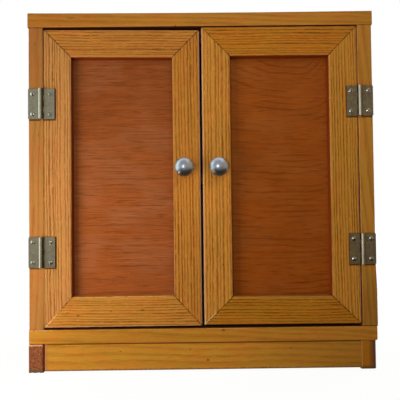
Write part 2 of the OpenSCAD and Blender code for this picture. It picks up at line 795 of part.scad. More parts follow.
module strike_plate(side) color(OLD_NICKEL) at_door(side) difference() {
  translate([door_w - strike_edge - strike_w, door_t, door_head(side, door_w, strike_top + strike_h)])
    along_y(strike_t) eased_square(strike_w, strike_h, strike_corner_r, [0, 1, 2, 3]);
  at_strike_screws(side) flush_screw_hole(strike_screw_len);
}

module left_strike_plate() strike_plate(LEFT);
module right_strike_plate() strike_plate(RIGHT);

module strike_screws(side) color(IRON)
  at_door(side) at_strike_screws(side) flush_screw(strike_screw_len, 20);

module left_strike_screws() strike_screws(LEFT);
module right_strike_screws() strike_screws(RIGHT);

top_board();
bottom_board();
left_side();
right_side();
back_panel();
shelf();
left_shelf_cleat();
right_shelf_cleat();
cleat_screws();
plinth_front();
plinth_back();
left_runner();
right_runner();
plinth_glue_blocks();
case_nails();
back_panel_pins();
catch_body();
catch_magnets();
catch_screws();
left_upper_case_leaf();
left_lower_case_leaf();
right_upper_case_leaf();
right_lower_case_leaf();
left_upper_hinge_pin();
left_lower_hinge_pin();
right_upper_hinge_pin();
right_lower_hinge_pin();
case_leaf_screws();
left_door_hinge_stile();
left_door_meeting_stile();
left_door_top_rail();
left_door_bottom_rail();
left_door_panel();
left_door_panel_pins();
left_door_mitre_pins();
left_upper_door_leaf();
left_lower_door_leaf();
left_door_leaf_screws();
left_knob();
left_knob_bolt();
left_knob_washer();
left_strike_plate();
left_strike_screws();
right_door_hinge_stile();
right_door_meeting_stile();
right_door_top_rail();
right_door_bottom_rail();
right_door_panel();
right_door_panel_pins();
right_door_mitre_pins();
right_upper_door_leaf();
right_lower_door_leaf();
right_door_leaf_screws();
right_knob();
right_knob_bolt();
right_knob_washer();
right_strike_plate();
right_strike_screws();
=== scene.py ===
# %% [markdown]
# A small pine cupboard for a table top. Two inset doors, each a mitred frame
# around a thin stained panel, turn on four small butt hinges, and two round
# metal knobs pull them. The boards, the hinges and the screws arrive as a
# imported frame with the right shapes. This lesson gives each of them its
# finish, and rebuilds the pieces that want a livelier or a finer shape: the
# boards of the case, the door frames, the rough runner, the hinge leaves and
# the knobs.

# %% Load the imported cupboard
import math

import bmesh
import bpy
from mathutils import Matrix, Vector, noise


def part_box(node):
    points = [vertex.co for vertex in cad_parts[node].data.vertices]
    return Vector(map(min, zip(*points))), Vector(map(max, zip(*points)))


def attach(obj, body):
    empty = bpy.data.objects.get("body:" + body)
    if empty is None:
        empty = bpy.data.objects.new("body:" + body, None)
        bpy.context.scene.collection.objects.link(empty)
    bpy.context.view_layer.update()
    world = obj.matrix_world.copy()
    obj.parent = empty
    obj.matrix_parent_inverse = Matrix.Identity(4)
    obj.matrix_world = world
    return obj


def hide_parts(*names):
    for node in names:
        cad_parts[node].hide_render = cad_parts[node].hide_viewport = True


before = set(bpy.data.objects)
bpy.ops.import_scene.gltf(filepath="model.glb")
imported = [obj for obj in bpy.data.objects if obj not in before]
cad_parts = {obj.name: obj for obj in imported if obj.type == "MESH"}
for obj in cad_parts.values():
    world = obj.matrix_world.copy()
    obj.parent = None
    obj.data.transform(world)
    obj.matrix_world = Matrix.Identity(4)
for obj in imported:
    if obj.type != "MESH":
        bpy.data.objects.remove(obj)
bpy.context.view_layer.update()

MM = 0.001

# %% [markdown]
# The camera stands a little over half a metre from the doors, just left of
# the middle and a little below half height, and looks up by about one degree.
# It could be aimed with a Track To constraint, but a rotation built from its
# own three directions also holds the slight tilt of the picture.

# %% Camera
CAMERA_PLACE = Vector((-4.9, -665.0, 210.9)) * MM
PITCH = math.radians(1.25)
ROLL = math.radians(-0.659)
YAW = math.radians(-0.233)
SENSOR = 36.0
FOCAL_PX = 430.0
PICTURE_PX = 400

forward = Vector((-math.sin(YAW) * math.cos(PITCH), math.cos(YAW) * math.cos(PITCH), math.sin(PITCH)))
level = Vector((math.cos(YAW), math.sin(YAW), 0.0))
upright = level.cross(forward)
right = math.cos(ROLL) * level + math.sin(ROLL) * upright
up = -math.sin(ROLL) * level + math.cos(ROLL) * upright

lens = bpy.data.cameras.new("viewpoint")
lens.sensor_width = SENSOR
lens.lens = FOCAL_PX / PICTURE_PX * SENSOR
lens.clip_start = 0.02
camera = bpy.data.objects.new("viewpoint", lens)
camera.matrix_world = Matrix.Translation(CAMERA_PLACE) @ Matrix((right, up, -forward)).transposed().to_4x4()
bpy.context.scene.collection.objects.link(camera)
bpy.context.scene.camera = camera
print("focal length, mm:", round(lens.lens, 2))

# %% [markdown]
# Materials here are long sums of masks, so the nodes are written as Python
# sums. `Ink` is one socket that can be added, multiplied or taken from 1, and
# each such step adds a Math node. `Nodes` adds any other node to a tree. `Coat`
# is one material, and hands out places in millimetres and the direction that a
# face looks in. Placing every node by hand would give the same shaders, but
# nobody could read them afterwards.

# %% Sockets that can be added and multiplied
class Ink:
    """An output socket, with the arithmetic of Math nodes."""

    def __init__(self, nodes, socket):
        self.nodes = nodes
        self.socket = socket

    def __add__(self, other):
        return self.nodes.one("ADD", self, other)

    def __mul__(self, other):
        return self.nodes.one("MULTIPLY", self, other)

    def __sub__(self, other):
        return self.nodes.one("SUBTRACT", self, other)

    def __rsub__(self, other):
        return self.nodes.one("SUBTRACT", other, self)

    def __truediv__(self, other):
        return self.nodes.one("DIVIDE", self, other)

    def __rtruediv__(self, other):
        return self.nodes.one("DIVIDE", other, self)

    __radd__ = __add__
    __rmul__ = __mul__


print("a socket can be added, subtracted, multiplied and divided")

# %% A tree of nodes
class Nodes:
    """A node tree, and the nodes that masks and colours are made of."""

    def __init__(self, tree):
        self.tree = tree

    def node(self, kind, settings=None, inputs=None, output=0):
        """Adds a node, sets it up, fills its sockets and returns one output."""
        made = self.tree.nodes.new("ShaderNode" + kind)
        for name, value in (settings or {}).items():
            setattr(made, name, value)
        for name, value in (inputs or {}).items():
            if isinstance(value, Ink):
                self.tree.links.new(value.socket, made.inputs[name])
            else:
                made.inputs[name].default_value = value
        return Ink(self, made.outputs[output])

    def feed(self, node, socket, value):
        """Links a value to a socket of a node that the tree already has."""
        self.tree.links.new(value.socket, self.tree.nodes[node].inputs[socket])

    def one(self, operation, first, second=0.0):
        """A Math node."""
        return self.node("Math", {"operation": operation}, {0: first, 1: second})

    def vector(self, operation, first, second=None, output=0, **named):
        """A Vector Math node."""
        inputs = {0: first, **named}
        if second is not None:
            inputs[1] = second
        return self.node("VectorMath", {"operation": operation}, inputs, output)

    def part(self, vector, axis):
        """One component of a vector: 0, 1 or 2."""
        return self.node("SeparateXYZ", None, {0: vector}, axis)

    def length(self, vector):
        return self.vector("LENGTH", vector, output="Value")

    def dot(self, vector, direction):
        """How far a vector reaches in a direction."""
        return self.vector("DOT_PRODUCT", vector, direction, "Value")

    def step(self, value, low, high):
        """Rises smoothly from 0 at low to 1 at high."""
        inputs = {"Value": value, "From Min": low, "From Max": high}
        return self.node("MapRange", {"interpolation_type": "SMOOTHSTEP"}, inputs)

    def mix(self, share, first, second, blend="MIX"):
        """A colour between two colours."""
        settings = {"data_type": "RGBA", "blend_type": blend}
        return self.node("Mix", settings, {0: share, 6: first, 7: second}, 2)

    def brighten(self, colour, factor):
        return self.vector("SCALE", colour if isinstance(colour, Ink) else colour[:3], Scale=factor)


print("node helpers ready")

# %% A material
class Coat(Nodes):
    """One material, with its colour so far and the measures that its masks start from."""

    def __init__(self, name, **constants):
        self.material = bpy.data.materials.new(name)
        self.material.use_nodes = True
        super().__init__(self.material.node_tree)
        self.shader = self.tree.nodes["Principled BSDF"]
        for socket, value in constants.items():
            self.shader.inputs[socket.replace("_", " ")].default_value = value
        self.metres = self.node("TexCoord", output="Object")
        self.place = self.vector("SCALE", self.metres, Scale=1 / MM)
        self.facing = self.node("TexCoord", output="Normal")
        self.colour = None

    def at(self, axis):
        """Where a point lies along an axis, in millimetres."""
        return self.part(self.place, axis)

    def cloud(self, per_mm, seed=0.0, detail=2.0):
        """Noise from 0 to 1, at one scale or at one for each axis, in cycles to a millimetre."""
        moved = self.node("Mapping", None, {
            "Vector": self.place, "Scale": per_mm if isinstance(per_mm, tuple) else (per_mm,) * 3,
            "Location": (seed * 13.7, seed * 7.3, seed * 3.1)})
        return self.node("TexNoise", None, {"Vector": moved, "Scale": 1.0, "Detail": detail})

    def rounded(self, low=0.04, high=0.22):
        """1 on eased edges and bends, 0 on faces that look along an axis."""
        size = self.vector("ABSOLUTE", self.facing)
        widest = self.one("MAXIMUM", self.part(size, 0), self.part(size, 1))
        widest = self.one("MAXIMUM", widest, self.part(size, 2))
        return self.step(1 - widest, low, high)

    def looks(self, direction, low=0.5, high=0.8):
        """1 where the face looks in a direction."""
        return self.step(self.dot(self.facing, direction), low, high)

    def lay(self, share, paint, blend="MIX"):
        """Lays a paint over the colour so far."""
        self.colour = self.mix(share, self.colour, paint, blend)

    def scale(self, factor):
        """Makes the colour so far brighter or darker."""
        self.colour = self.brighten(self.colour, factor)

    def wear(self, socket, value):
        """Feeds a socket of the shader."""
        self.feed("Principled BSDF", socket, value)

    def bump(self, height, depth_mm):
        """Feeds the shader's normal with a relief whose height runs from 0 to 1."""
        self.wear("Normal", self.node("Bump", None, {"Distance": depth_mm * MM, "Height": height}))


print("materials can be mixed now")

# %% [markdown]
# Wood is one solid pattern, not a picture glued to faces: year rings are
# cylinders around the middle of the tree, and a board shows wherever it cuts
# them. So the finish measures how far each point lies from that middle line,
# which runs along the grain some way outside the board. Straight stripes on
# the face, arcs on the end grain and long flames on wide boards all come from
# the same sum. A Wave texture could draw the stripes too, but the ends of the
# boards would show them as well.

# %% Year rings round the middle of a tree
AXES = (0, 1, 2)
X, Y, Z = AXES


def grain_scale(along, long_mm, wide_mm):
    """Noise scale that is stretched along the grain."""
    return tuple(1 / long_mm if axis == along else 1 / wide_mm for axis in AXES)


def tree_rings(coat, along, middle, ring, wobble, ripple, lean, seed):
    """Phase of the year rings: it grows by one at each ring."""
    across = [axis for axis in AXES if axis != along]
    length = coat.at(along)
    squares = []
    for turn, axis in enumerate(across):
        sway = coat.cloud(grain_scale(along, 160, 70), seed + 3 * turn, 1.0) - 0.5
        shiver = coat.cloud(grain_scale(along, 15, 6), seed + 3 * turn + 1, 1.0) - 0.5
        offset = coat.at(axis) - middle[turn] + sway * wobble
        offset = offset + shiver * ripple + length * lean[turn]
        squares.append(offset * offset)
    radius = coat.one("SQRT", squares[0] + squares[1])
    slow = {"W": radius / (2.6 * ring) + seed, "Scale": 1.0}
    uneven = coat.node("TexNoise", {"noise_dimensions": "1D"}, slow)
    return radius / ring + uneven * 1.5


print("year rings ready")

# %% Pine, sawn from a tree
def srgb(red, green, blue):
    """A colour as a shader wants it, from its 0 to 255 screen values."""
    parts = [value / 255 for value in (red, green, blue)]
    return tuple(((p + 0.055) / 1.055) ** 2.4 if p > 0.04045 else p / 12.92 for p in parts) + (1.0,)


HONEY = srgb(255, 196, 120)
WORN_AND_LIT_PALE = srgb(214, 190, 170)
BLUSH = (1.08, 0.86, 0.92, 1.0)


def pine(name, along, middle, ring, light, dark, late=0.8, wobble=3.0, ripple=0.0, lean=(0.0, 0.0),
         seed=0.0, sharp=(0.3, 0.78), relief=0.12, gloss=0.46, fibre=0.16, patches=0.14, worn=0.35,
         broken=0.0, specks=0.34, glints=0.0, blush=0.6):
    """A waxed softwood. Marks can still be laid over its colour."""
    coat = Coat(name, Roughness=gloss, Specular_IOR_Level=0.25, Specular_Tint=HONEY)
    phase = coat.one("FRACT", tree_rings(coat, along, middle, ring, wobble, ripple, lean, seed))
    stripe = coat.step(phase, *sharp) * (1 - coat.step(phase, 0.86, 1.0))
    fine = coat.cloud(grain_scale(along, 34, 0.9), seed + 1, 3.0)
    speck = coat.step(coat.cloud(grain_scale(along, 5.5, 0.55), seed + 2, 1.0), 0.62, 0.72)
    patch = coat.cloud(grain_scale(along, 120, 26), seed + 5, 2.0)
    strength = coat.step(coat.cloud(grain_scale(along, 90, 14), seed + 6, 1.0), 0.2, 0.7) * 0.45 + 0.55
    if broken:
        gaps = coat.step(coat.cloud(grain_scale(along, 20, 2.4), seed + 9, 1.0), 0.34, 0.56)
        strength = strength * (gaps * broken + (1 - broken))
    coat.colour = light
    coat.lay(stripe * strength * late, dark)
    coat.lay(speck * specks, dark)
    # Glints are painted highlights: short bright flecks along the grain.
    if glints:
        glint = coat.step(coat.cloud(grain_scale(along, 8, 0.8), seed + 10, 1.0), 0.58, 0.72)
        coat.lay(glint * glints, coat.brighten(light, 1.5))
    warm = coat.step(coat.cloud(grain_scale(along, 42, 15), seed + 8, 1.0), 0.4, 0.62)
    coat.lay(warm * blush, BLUSH, "MULTIPLY")
    coat.scale(fine * (2 * fibre) + patch * (2 * patches) + (1 - fibre - patches))
    ends = coat.step(coat.one("ABSOLUTE", coat.part(coat.facing, along)), 0.6, 0.85)
    coat.lay(ends * 0.5, dark)
    # Pale worn arrises: the pale paint also stands in for the highlight on the rounded edges.
    lightened = coat.rounded() * coat.step(patch, 0.3, 0.62) * worn
    coat.lay(lightened, coat.mix(0.35, light, WORN_AND_LIT_PALE))
    height = (1 - stripe * strength) * 0.75 + fine * 0.25
    coat.wear("Roughness", stripe * 0.08 + fine * 0.1 + (gloss - 0.05))
    coat.bump(height, relief)
    return coat


print("pine ready")

# %% Old wax
AMBER = srgb(180, 116, 26)
FADED = srgb(172, 119, 74)


def waxed(tone, fade, yellow=1.0, late=(0.56, 0.5, 0.4)):
    """Light and dark colour of old waxed pine. Sun and hands fade it from amber to a paler tan."""
    light = [tone * (a + fade * (f - a)) for a, f in zip(AMBER, FADED)]
    light[1] *= yellow
    dark = [share * part for share, part in zip(late, light)]
    return tuple(light[:3]) + (1.0,), tuple(dark) + (1.0,)


def finish(node, coat):
    """Gives a CAD node its material."""
    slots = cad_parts[node].data.materials
    slots.clear()
    slots.append(coat.material)


print("wax, from amber to faded:", AMBER[:3], FADED[:3])

# %% [markdown]
# The doors are framed like pictures: four members meet at mitres, and the
# slanting joints show as thin dark lines. Everything on a door is placed from
# its outline, so the outline comes first. It could be searched for in the
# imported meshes, but their cut and rounded corners are hard to tell apart, and
# a few measures say the same. Corners run hinge foot, meeting foot, meeting
# head, hinge head, in millimetres across and up. The left door has sagged a
# little, so its top edge falls towards the middle.

# %% Outlines of the two doors
FRONT = -100.0
HINGE_EDGE, MEETING_EDGE = 207.5, 1.3
DOORS = {
    "left": {"sign": -1, "stile": 36.5, "top": 37.0, "bottom": 40.0,
             "foot": (58.1, 58.8), "head": (451.4, 449.0)},
    "right": {"sign": 1, "stile": 38.0, "top": 39.0, "bottom": 37.0,
              "foot": (58.9, 59.4), "head": (452.5, 452.5)},
}


def door_corners(side, inset=0.0, depth=0.0):
    """Corners of a door, moved in by inset past the stiles and by depth past the rails."""
    door = DOORS[side]
    width = HINGE_EDGE - MEETING_EDGE
    points = []
    for end, x in enumerate((HINGE_EDGE - inset, MEETING_EDGE + inset)):
        share = inset / width if end == 0 else 1 - inset / width
        foot = door["foot"][0] + share * (door["foot"][1] - door["foot"][0]) + depth * door["bottom"]
        head = door["head"][0] + share * (door["head"][1] - door["head"][0]) - depth * door["top"]
        points.append(((door["sign"] * x, foot), (door["sign"] * x, head)))
    return [points[0][0], points[1][0], points[1][1], points[0][1]]


def opening(side):
    return door_corners(side, DOORS[side]["stile"], 1.0)


for side in DOORS:
    print(side, "door opening, mm:", [tuple(round(v, 1) for v in corner) for corner in opening(side)])

# %% [markdown]
# Years of use leave marks: filled nail holes, knots, dirt in the mitres and a
# torn corner where the wood split pale. Each could be a decal or a painted
# texture, but a mask around a point or a line does the same inside the
# procedural finish, stays sharp at any distance and moves with the board.

# %% Marks and lines on the front
KNOT = srgb(74, 42, 18)
TO_FRONT = (0, -1, 0)


def from_middle(coat, x, z, wide, tall):
    """0 in the middle of an oval on the front, and 1 on its edge."""
    return coat.length(coat.node("VectorMath", {"operation": "MULTIPLY_ADD"}, {
        0: coat.place, 1: (1 / wide, 0, 1 / tall), 2: (-x / wide, 0, -z / tall)}))


def spot(coat, mark, share):
    """A ragged dark oval on the faces that look to the front. A mark is x, z, width and height."""
    ragged = from_middle(coat, *mark) + coat.cloud(0.9, mark[0]) * 0.7
    here = (1 - coat.step(ragged, 0.75, 1.35)) * coat.looks(TO_FRONT) * share
    coat.lay(here, KNOT)


def line_mask(coat, start, end, half_width, soft=0.5):
    """1 within half_width of a slanting line across the front."""
    (x0, z0), (x1, z1) = start, end
    length = math.hypot(x1 - x0, z1 - z0)
    across = ((z0 - z1) / length, 0, (x1 - x0) / length)
    level = across[0] * x0 + across[2] * z0
    away = coat.one("ABSOLUTE", coat.dot(coat.place, across) - level)
    return 1 - coat.step(away, half_width, half_width + soft)


def patch_mask(coat, left, right, low, high, soft=0.5):
    """1 inside an upright rectangle on the front."""
    x, z = coat.at(X), coat.at(Z)
    across = coat.step(x, left - soft, left) * (1 - coat.step(x, right, right + soft))
    return across * coat.step(z, low - soft, low) * (1 - coat.step(z, high, high + soft))


def share_along(coat, start, end):
    """How far along a line a place lies: 0 at its start, 1 at its end."""
    (x0, z0), (x1, z1) = start, end
    squared = (x1 - x0) ** 2 + (z1 - z0) ** 2
    run = ((x1 - x0) / squared, 0, (z1 - z0) / squared)
    return coat.dot(coat.place, run) - (run[0] * x0 + run[2] * z0)


print("marks ready")

# %% Painted shadow round the hinges and painted shade in the gaps
PAINTED_SHADE_AND_JOINT_DARK = srgb(62, 20, 5)
PAINTED_GAP_SHADE_RED = srgb(120, 50, 18)
HINGE_MIDDLES = (157.0, 352.0)
LEAF_REACH = 20.0
DOOR_DEPTH = 19.0


def hinge_shadows(coat, left, right):
    """Painted shadow: a dark rim round the two leaves on a board.

    It is wider below and at the right, where the leaves' shadows fall.
    """
    for middle in HINGE_MIDDLES:
        low, high = middle - LEAF_REACH - 1.7, middle + LEAF_REACH + 0.2
        rim = patch_mask(coat, left - 0.2, right + 1.3, low, high, 0.7)
        coat.lay(rim * coat.looks(TO_FRONT) * 0.8, PAINTED_SHADE_AND_JOINT_DARK)


def painted_gap_shade(coat, direction, tight):
    """Painted shade: dark red-brown on the faces that look into the gaps round the doors.

    Beside a tight gap the rounded edges are left clear, so the painted shade starts further in.
    """
    near_front = 1 - coat.step(coat.at(Y), FRONT + DOOR_DEPTH, FRONT + DOOR_DEPTH + 3)
    inside = coat.looks(direction, 0.88, 0.99) if tight else coat.looks(direction, 0.6, 0.9)
    coat.lay(inside * near_front * 0.9, PAINTED_GAP_SHADE_RED if tight else PAINTED_SHADE_AND_JOINT_DARK)


print("hinge middles, mm:", HINGE_MIDDLES)

# %% [markdown]
# The case is joined from plain boards with a thin coat of old wax. Their grain
# is quiet, so the stripes are faint and wide. One finish could serve them all,
# but its grain would run on from board to board, as if they were one block. So
# each board is cut from its own place in the tree: `along` is the axis of its
# grain, and `middle` is where the tree's middle line lies across it.

# %% Finishes of the case boards
boards = {
    "top_board": (X, (40.0, 300.0), 6.5, waxed(0.97, 0.2, 1.02), 2),
    "bottom_board": (X, (-10.0, 190.0), 7.5, waxed(0.98, 0.15, 1.085), 5),
    "left_side": (Z, (-330.0, 30.0), 6.5, waxed(0.825, 0.47, 1.0), 8),
    "right_side": (Z, (345.0, 60.0), 6.5, waxed(0.91, 0.26, 1.1), 11),
    "plinth_front": (X, (60.0, -70.0), 5.5, waxed(1.07, 0.17, 1.12), 14),
}
board_coats = {}
for node, (along, middle, ring, (light, dark), seed) in boards.items():
    board_coats[node] = pine(
        node + "_pine", along, middle, ring, light, dark, late=0.58, seed=seed, wobble=9.0, ripple=1.5,
        lean=(0.02, 0.05), relief=0.06, fibre=0.2, patches=0.17, broken=0.5, specks=0.4, glints=0.14)
print("board coats:", ", ".join(board_coats))

# %% Marks and dirt on the case boards
MARKS = {
    "top_board": [(-185.7, 456.3, 1.6, 1.1), (-32.8, 455.3, 1.5, 1.1), (-171.0, 466.3, 7.0, 0.9)],
    "bottom_board": [(26.2, 53.0, 3.4, 2.2)],
    "left_side": [(-218.9, 431.8, 1.2, 1.3), (-214.4, 311.4, 0.8, 4.5)],
    "plinth_front": [(5.4, 14.0, 2.6, 2.4), (-17.5, 28.3, 0.9, 2.2), (-109.0, 26.5, 2.2, 0.9),
                     (114.5, 28.3, 3.2, 0.9)],
}
GAP_SIDES = {"top_board": (0, 0, -1), "bottom_board": (0, 0, 1),
             "left_side": (1, 0, 0), "right_side": (-1, 0, 0)}
# The left and right edge of the hinge leaves on each side, and the heights where joints show as dark lines
LEAVES = {"left_side": (-227.4, -213.0), "right_side": (213.0, 227.4)}
JOINTS = {"left_side": (454.0,), "right_side": (56.0, 454.0),
          "bottom_board": (37.0,), "plinth_front": (36.6,)}
# The axis, the places where the painted shade starts and is at its full, and how much it darkens
PAINTED_SHADE_ENDS = {
    "plinth_front": (X, 40, 215, 0.26), "bottom_board": (X, 60, 225, 0.1), "top_board": (X, -80, -225, 0.12),
    "right_side": (Z, 190, 70, 0.24), "left_side": (Z, 290, 390, 0.1),
}
FOOT_DIRT = srgb(96, 58, 38)
RED_END_SHADOW = srgb(168, 100, 62)
SPLINTERED = srgb(226, 168, 108)
for node, coat in board_coats.items():
    for mark in MARKS.get(node, ()):
        spot(coat, mark, 0.6)
    height = coat.at(Z)
    for level in JOINTS.get(node, ()):
        joint = 1 - coat.step(coat.one("ABSOLUTE", height - level), 0.5, 1.3)
        coat.lay(joint * coat.looks(TO_FRONT, 0.2, 0.5) * 0.7, PAINTED_SHADE_AND_JOINT_DARK)
    # Painted shade: the board darkens towards one end.
    if node in PAINTED_SHADE_ENDS:
        axis, start, end, share = PAINTED_SHADE_ENDS[node]
        run = coat.at(axis)
        shaded_end = coat.step(run, start, end) if start < end else 1 - coat.step(run, end, start)
        coat.scale(1 - shaded_end * share)
    ragged = coat.cloud(0.3, 3.0) * 3
    if node == "plinth_front":
        low_edge = 1 - coat.step(height + ragged, 4.0, 6.2)
        coat.lay(low_edge * 0.75, FOOT_DIRT)
        # Painted shadow: a reddish strip at the plinth's left end, beside the runner.
        red_end_shadow = 1 - coat.step(coat.at(X) + ragged, -204.5, -200.0)
        coat.lay(red_end_shadow * 0.6, RED_END_SHADOW)
    if node == "bottom_board":
        pale = patch_mask(coat, -229, -198, 54.8, 57) * coat.step(ragged, 1.1, 1.6)
        coat.lay(pale * 0.5, SPLINTERED)
    if node in LEAVES:
        hinge_shadows(coat, *LEAVES[node])
    if node in GAP_SIDES:
        painted_gap_shade(coat, GAP_SIDES[node], node in LEAVES)
    coat.wear("Base Color", coat.colour)
print("boards finished:", ", ".join(boards))

# %% [markdown]
# The shelf, its cleats, the glue blocks and the back of the plinth were never
# waxed, so they stay paler and duller. The back is a sheet of thin plywood.
# They could share the wax of the case, but bare wood is what makers leave where
# nobody looks, and it shows as soon as a door opens.

# %% Finishes of the inner boards
RAW_LIGHT = srgb(206, 168, 112)
RAW_DARK = srgb(176, 128, 72)
inner_boards = {
    "shelf": (X, (10.0, 420.0), 7.0), "plinth_back": (X, (180.0, -60.0), 5.0),
    "left_shelf_cleat": (Y, (-300.0, 260.0), 4.0), "right_shelf_cleat": (Y, (300.0, 260.0), 4.0),
    "plinth_glue_blocks": (Z, (40.0, 300.0), 4.5),
}
for seed, (node, (along, middle, ring)) in enumerate(inner_boards.items()):
    coat = pine(node + "_raw", along, middle, ring, RAW_LIGHT, RAW_DARK, late=0.6, seed=30 + 3 * seed,
                wobble=8.0, lean=(0.03, 0.04), relief=0.08, gloss=0.62, worn=0.0)
    coat.wear("Base Color", coat.colour)
    finish(node, coat)
coat = pine("back_ply", Z, (20.0, 190.0), 13.0, srgb(198, 158, 106), srgb(168, 120, 70), late=0.5,
            wobble=30.0, lean=(0.05, 0.1), relief=0.05, gloss=0.6, seed=51, worn=0.0)
coat.wear("Base Color", coat.colour)
finish("back_panel", coat)
print("inner boards finished:", ", ".join(inner_boards))

# %% [markdown]
# The door panels are thin plywood under a red-brown stain. Their veneer was
# peeled off a turning log, and a knife that grazes the year rings draws them
# as long flat ovals. So the panels don't use the ring sum of the boards: the
# distance from one point, with the width pressed together, gives level lines
# far from that point and the bowls in the right panel's upper corner, which are
# steeper on their right side.

# %% Finish of the door panels
STAIN = {
    "left": {"light": srgb(140, 71, 30), "dark": srgb(86, 30, 8), "faded": srgb(150, 92, 58), "ring": 9.0,
             "centre": (-320.0, 760.0), "press": (12.0, 12.0), "sway": 9.0, "line": 0.3, "dash": 0.6,
             "top_shade": 0.2},
    "right": {"light": srgb(138, 66, 15), "dark": srgb(80, 26, 5), "faded": srgb(140, 78, 30), "ring": 8.0,
              "centre": (135.0, 432.0), "press": (2.3, 0.8), "sway": 13.0, "line": 0.44, "dash": 0.56,
              "top_shade": 0.0},
}


def stained_panel(side, seed):
    """Veneer with level lines under a thin stain."""
    stain = STAIN[side]
    light, dark = stain["light"], stain["dark"]
    x, z = stain["centre"]
    press_left, press_right = stain["press"]
    coat = Coat(side + "_panel_stain", Roughness=0.42, Specular_IOR_Level=0.25, Specular_Tint=HONEY)
    sway = coat.cloud((1 / 90, 1 / 40, 1 / 34), seed + 4, 2.0)
    aside, below = coat.at(X) - x, coat.at(Z) - z
    pressed = aside * (1 / press_left) + coat.one("MAXIMUM", aside) * (1 / press_right - 1 / press_left)
    distance = coat.one("SQRT", pressed * pressed + below * below) + sway * stain["sway"]
    phase = coat.one("FRACT", distance / stain["ring"])
    line = coat.step(phase, 0.55, 0.86) * (1 - coat.step(phase, 0.86, 1.0))
    streak = coat.cloud((1 / 40, 1 / 6, 1 / 1.2), seed + 1, 2.0)
    dash = coat.step(coat.cloud((1 / 21, 1 / 4, 1 / 0.8), seed + 2, 1.0), 0.56, 0.74)
    fleck = coat.step(coat.cloud((1 / 11, 1 / 4, 1 / 0.7), seed + 6, 1.0), 0.6, 0.76)
    patch = coat.cloud((1 / 60, 1 / 20, 1 / 26), seed + 3, 2.0)
    strength = coat.step(coat.cloud((1 / 45, 1 / 20, 1 / 14), seed + 5, 1.0), 0.34, 0.66)
    faded = coat.step(coat.cloud((1 / 50, 1 / 20, 1 / 32), seed + 7, 1.0), 0.45, 0.65)
    coat.colour = light
    coat.lay(faded * 0.3, stain["faded"])
    coat.lay(line * strength * stain["line"], dark)
    coat.lay(dash * stain["dash"], dark)
    coat.lay(fleck * 0.42, coat.brighten(light, 1.7))
    coat.scale(streak * 0.72 + patch * 0.34 + 0.47)
    # Painted shade: the panel darkens towards the top, and its lower part is lifted a little.
    shade = coat.step(coat.at(Z), 170, 400) * stain["top_shade"]
    coat.scale(1 + stain["top_shade"] * 0.4 - shade)
    coat.wear("Base Color", coat.colour)
    coat.wear("Roughness", streak * 0.12 + 0.36)
    coat.bump(streak * 0.5 + (1 - dash) * 0.5, 0.05)
    finish(side + "_door_panel", coat)


for seed, side in enumerate(DOORS):
    stained_panel(side, 60 + 5 * seed)
print("panels finished")

# %% [markdown]
# The frame members are the liveliest wood here: fast-grown, brushed by wear
# into ridges, a stripe every three or four millimetres. Each member takes its
# stripes along its own length. The walls of the opening took the panel's red
# stain when it was brushed on, so those faces are dark, but the ledge of each
# bottom rail was wiped clean. The walls could have a material of their own, but
# a mask on the direction that a face looks in keeps one finish to a member.
# Worn arrises go pale, and that pale paint also stands in for the highlight they catch.

# %% Stripes and marks of the frame members
members = {
    "door_hinge_stile": (Z, 0, 3), "door_meeting_stile": (Z, 1, 2),
    "door_top_rail": (X, 3, 2), "door_bottom_rail": (X, 0, 1),
}
# Where the tree's middle lay beside the member, its ring width, and the tone, fade and yellow of its wax
STRIPES = {
    "left_door_hinge_stile": (-330.0, 3.4, 1.05, 0.62, 1.03),
    "left_door_meeting_stile": (120.0, 3.7, 1.01, 0.23, 0.98),
    "left_door_top_rail": (560.0, 3.3, 1.02, 0.29, 0.96),
    "left_door_bottom_rail": (-60.0, 3.2, 1.06, 0.25, 1.02),
    "right_door_hinge_stile": (330.0, 3.4, 1.01, 0.23, 1.07),
    "right_door_meeting_stile": (-120.0, 4.2, 1.1, 0.28, 1.04),
    "right_door_top_rail": (570.0, 3.3, 0.92, 0.04, 0.94),
    "right_door_bottom_rail": (-60.0, 3.5, 0.83, 0.01, 0.99),
}
FRAME_MARKS = {
    "left_door_hinge_stile": [(-194.4, 384.1, 1.2, 1.3)],
    "left_door_meeting_stile": [(-35.6, 323.3, 1.1, 1.2), (-17.3, 326.2, 1.1, 1.2)],
    "left_door_bottom_rail": [(-79.5, 80.3, 3.4, 1.7), (-163.4, 74.2, 2.2, 1.6), (-177.6, 77.4, 2.0, 1.0),
                              (-120.7, 79.3, 1.6, 1.4)],
    "right_door_meeting_stile": [(27.0, 137.9, 1.2, 2.2)],
}
print("members with stripes:", len(STRIPES))

# %% Finish of the frame members
MITRE_DIRT_AND_SLOT_DARK = srgb(52, 26, 10)
WORN_EDGE_AND_HIGHLIGHT = srgb(196, 148, 112)
DARK_EDGE_BAND = srgb(96, 60, 26)
WALL_STAIN = srgb(118, 36, 9)
DOOR_LEAF = (192.6, 207.0)
LIGHTER_MIDDLE_HEIGHT, LIGHTER_MIDDLE_REACH = 242, 60


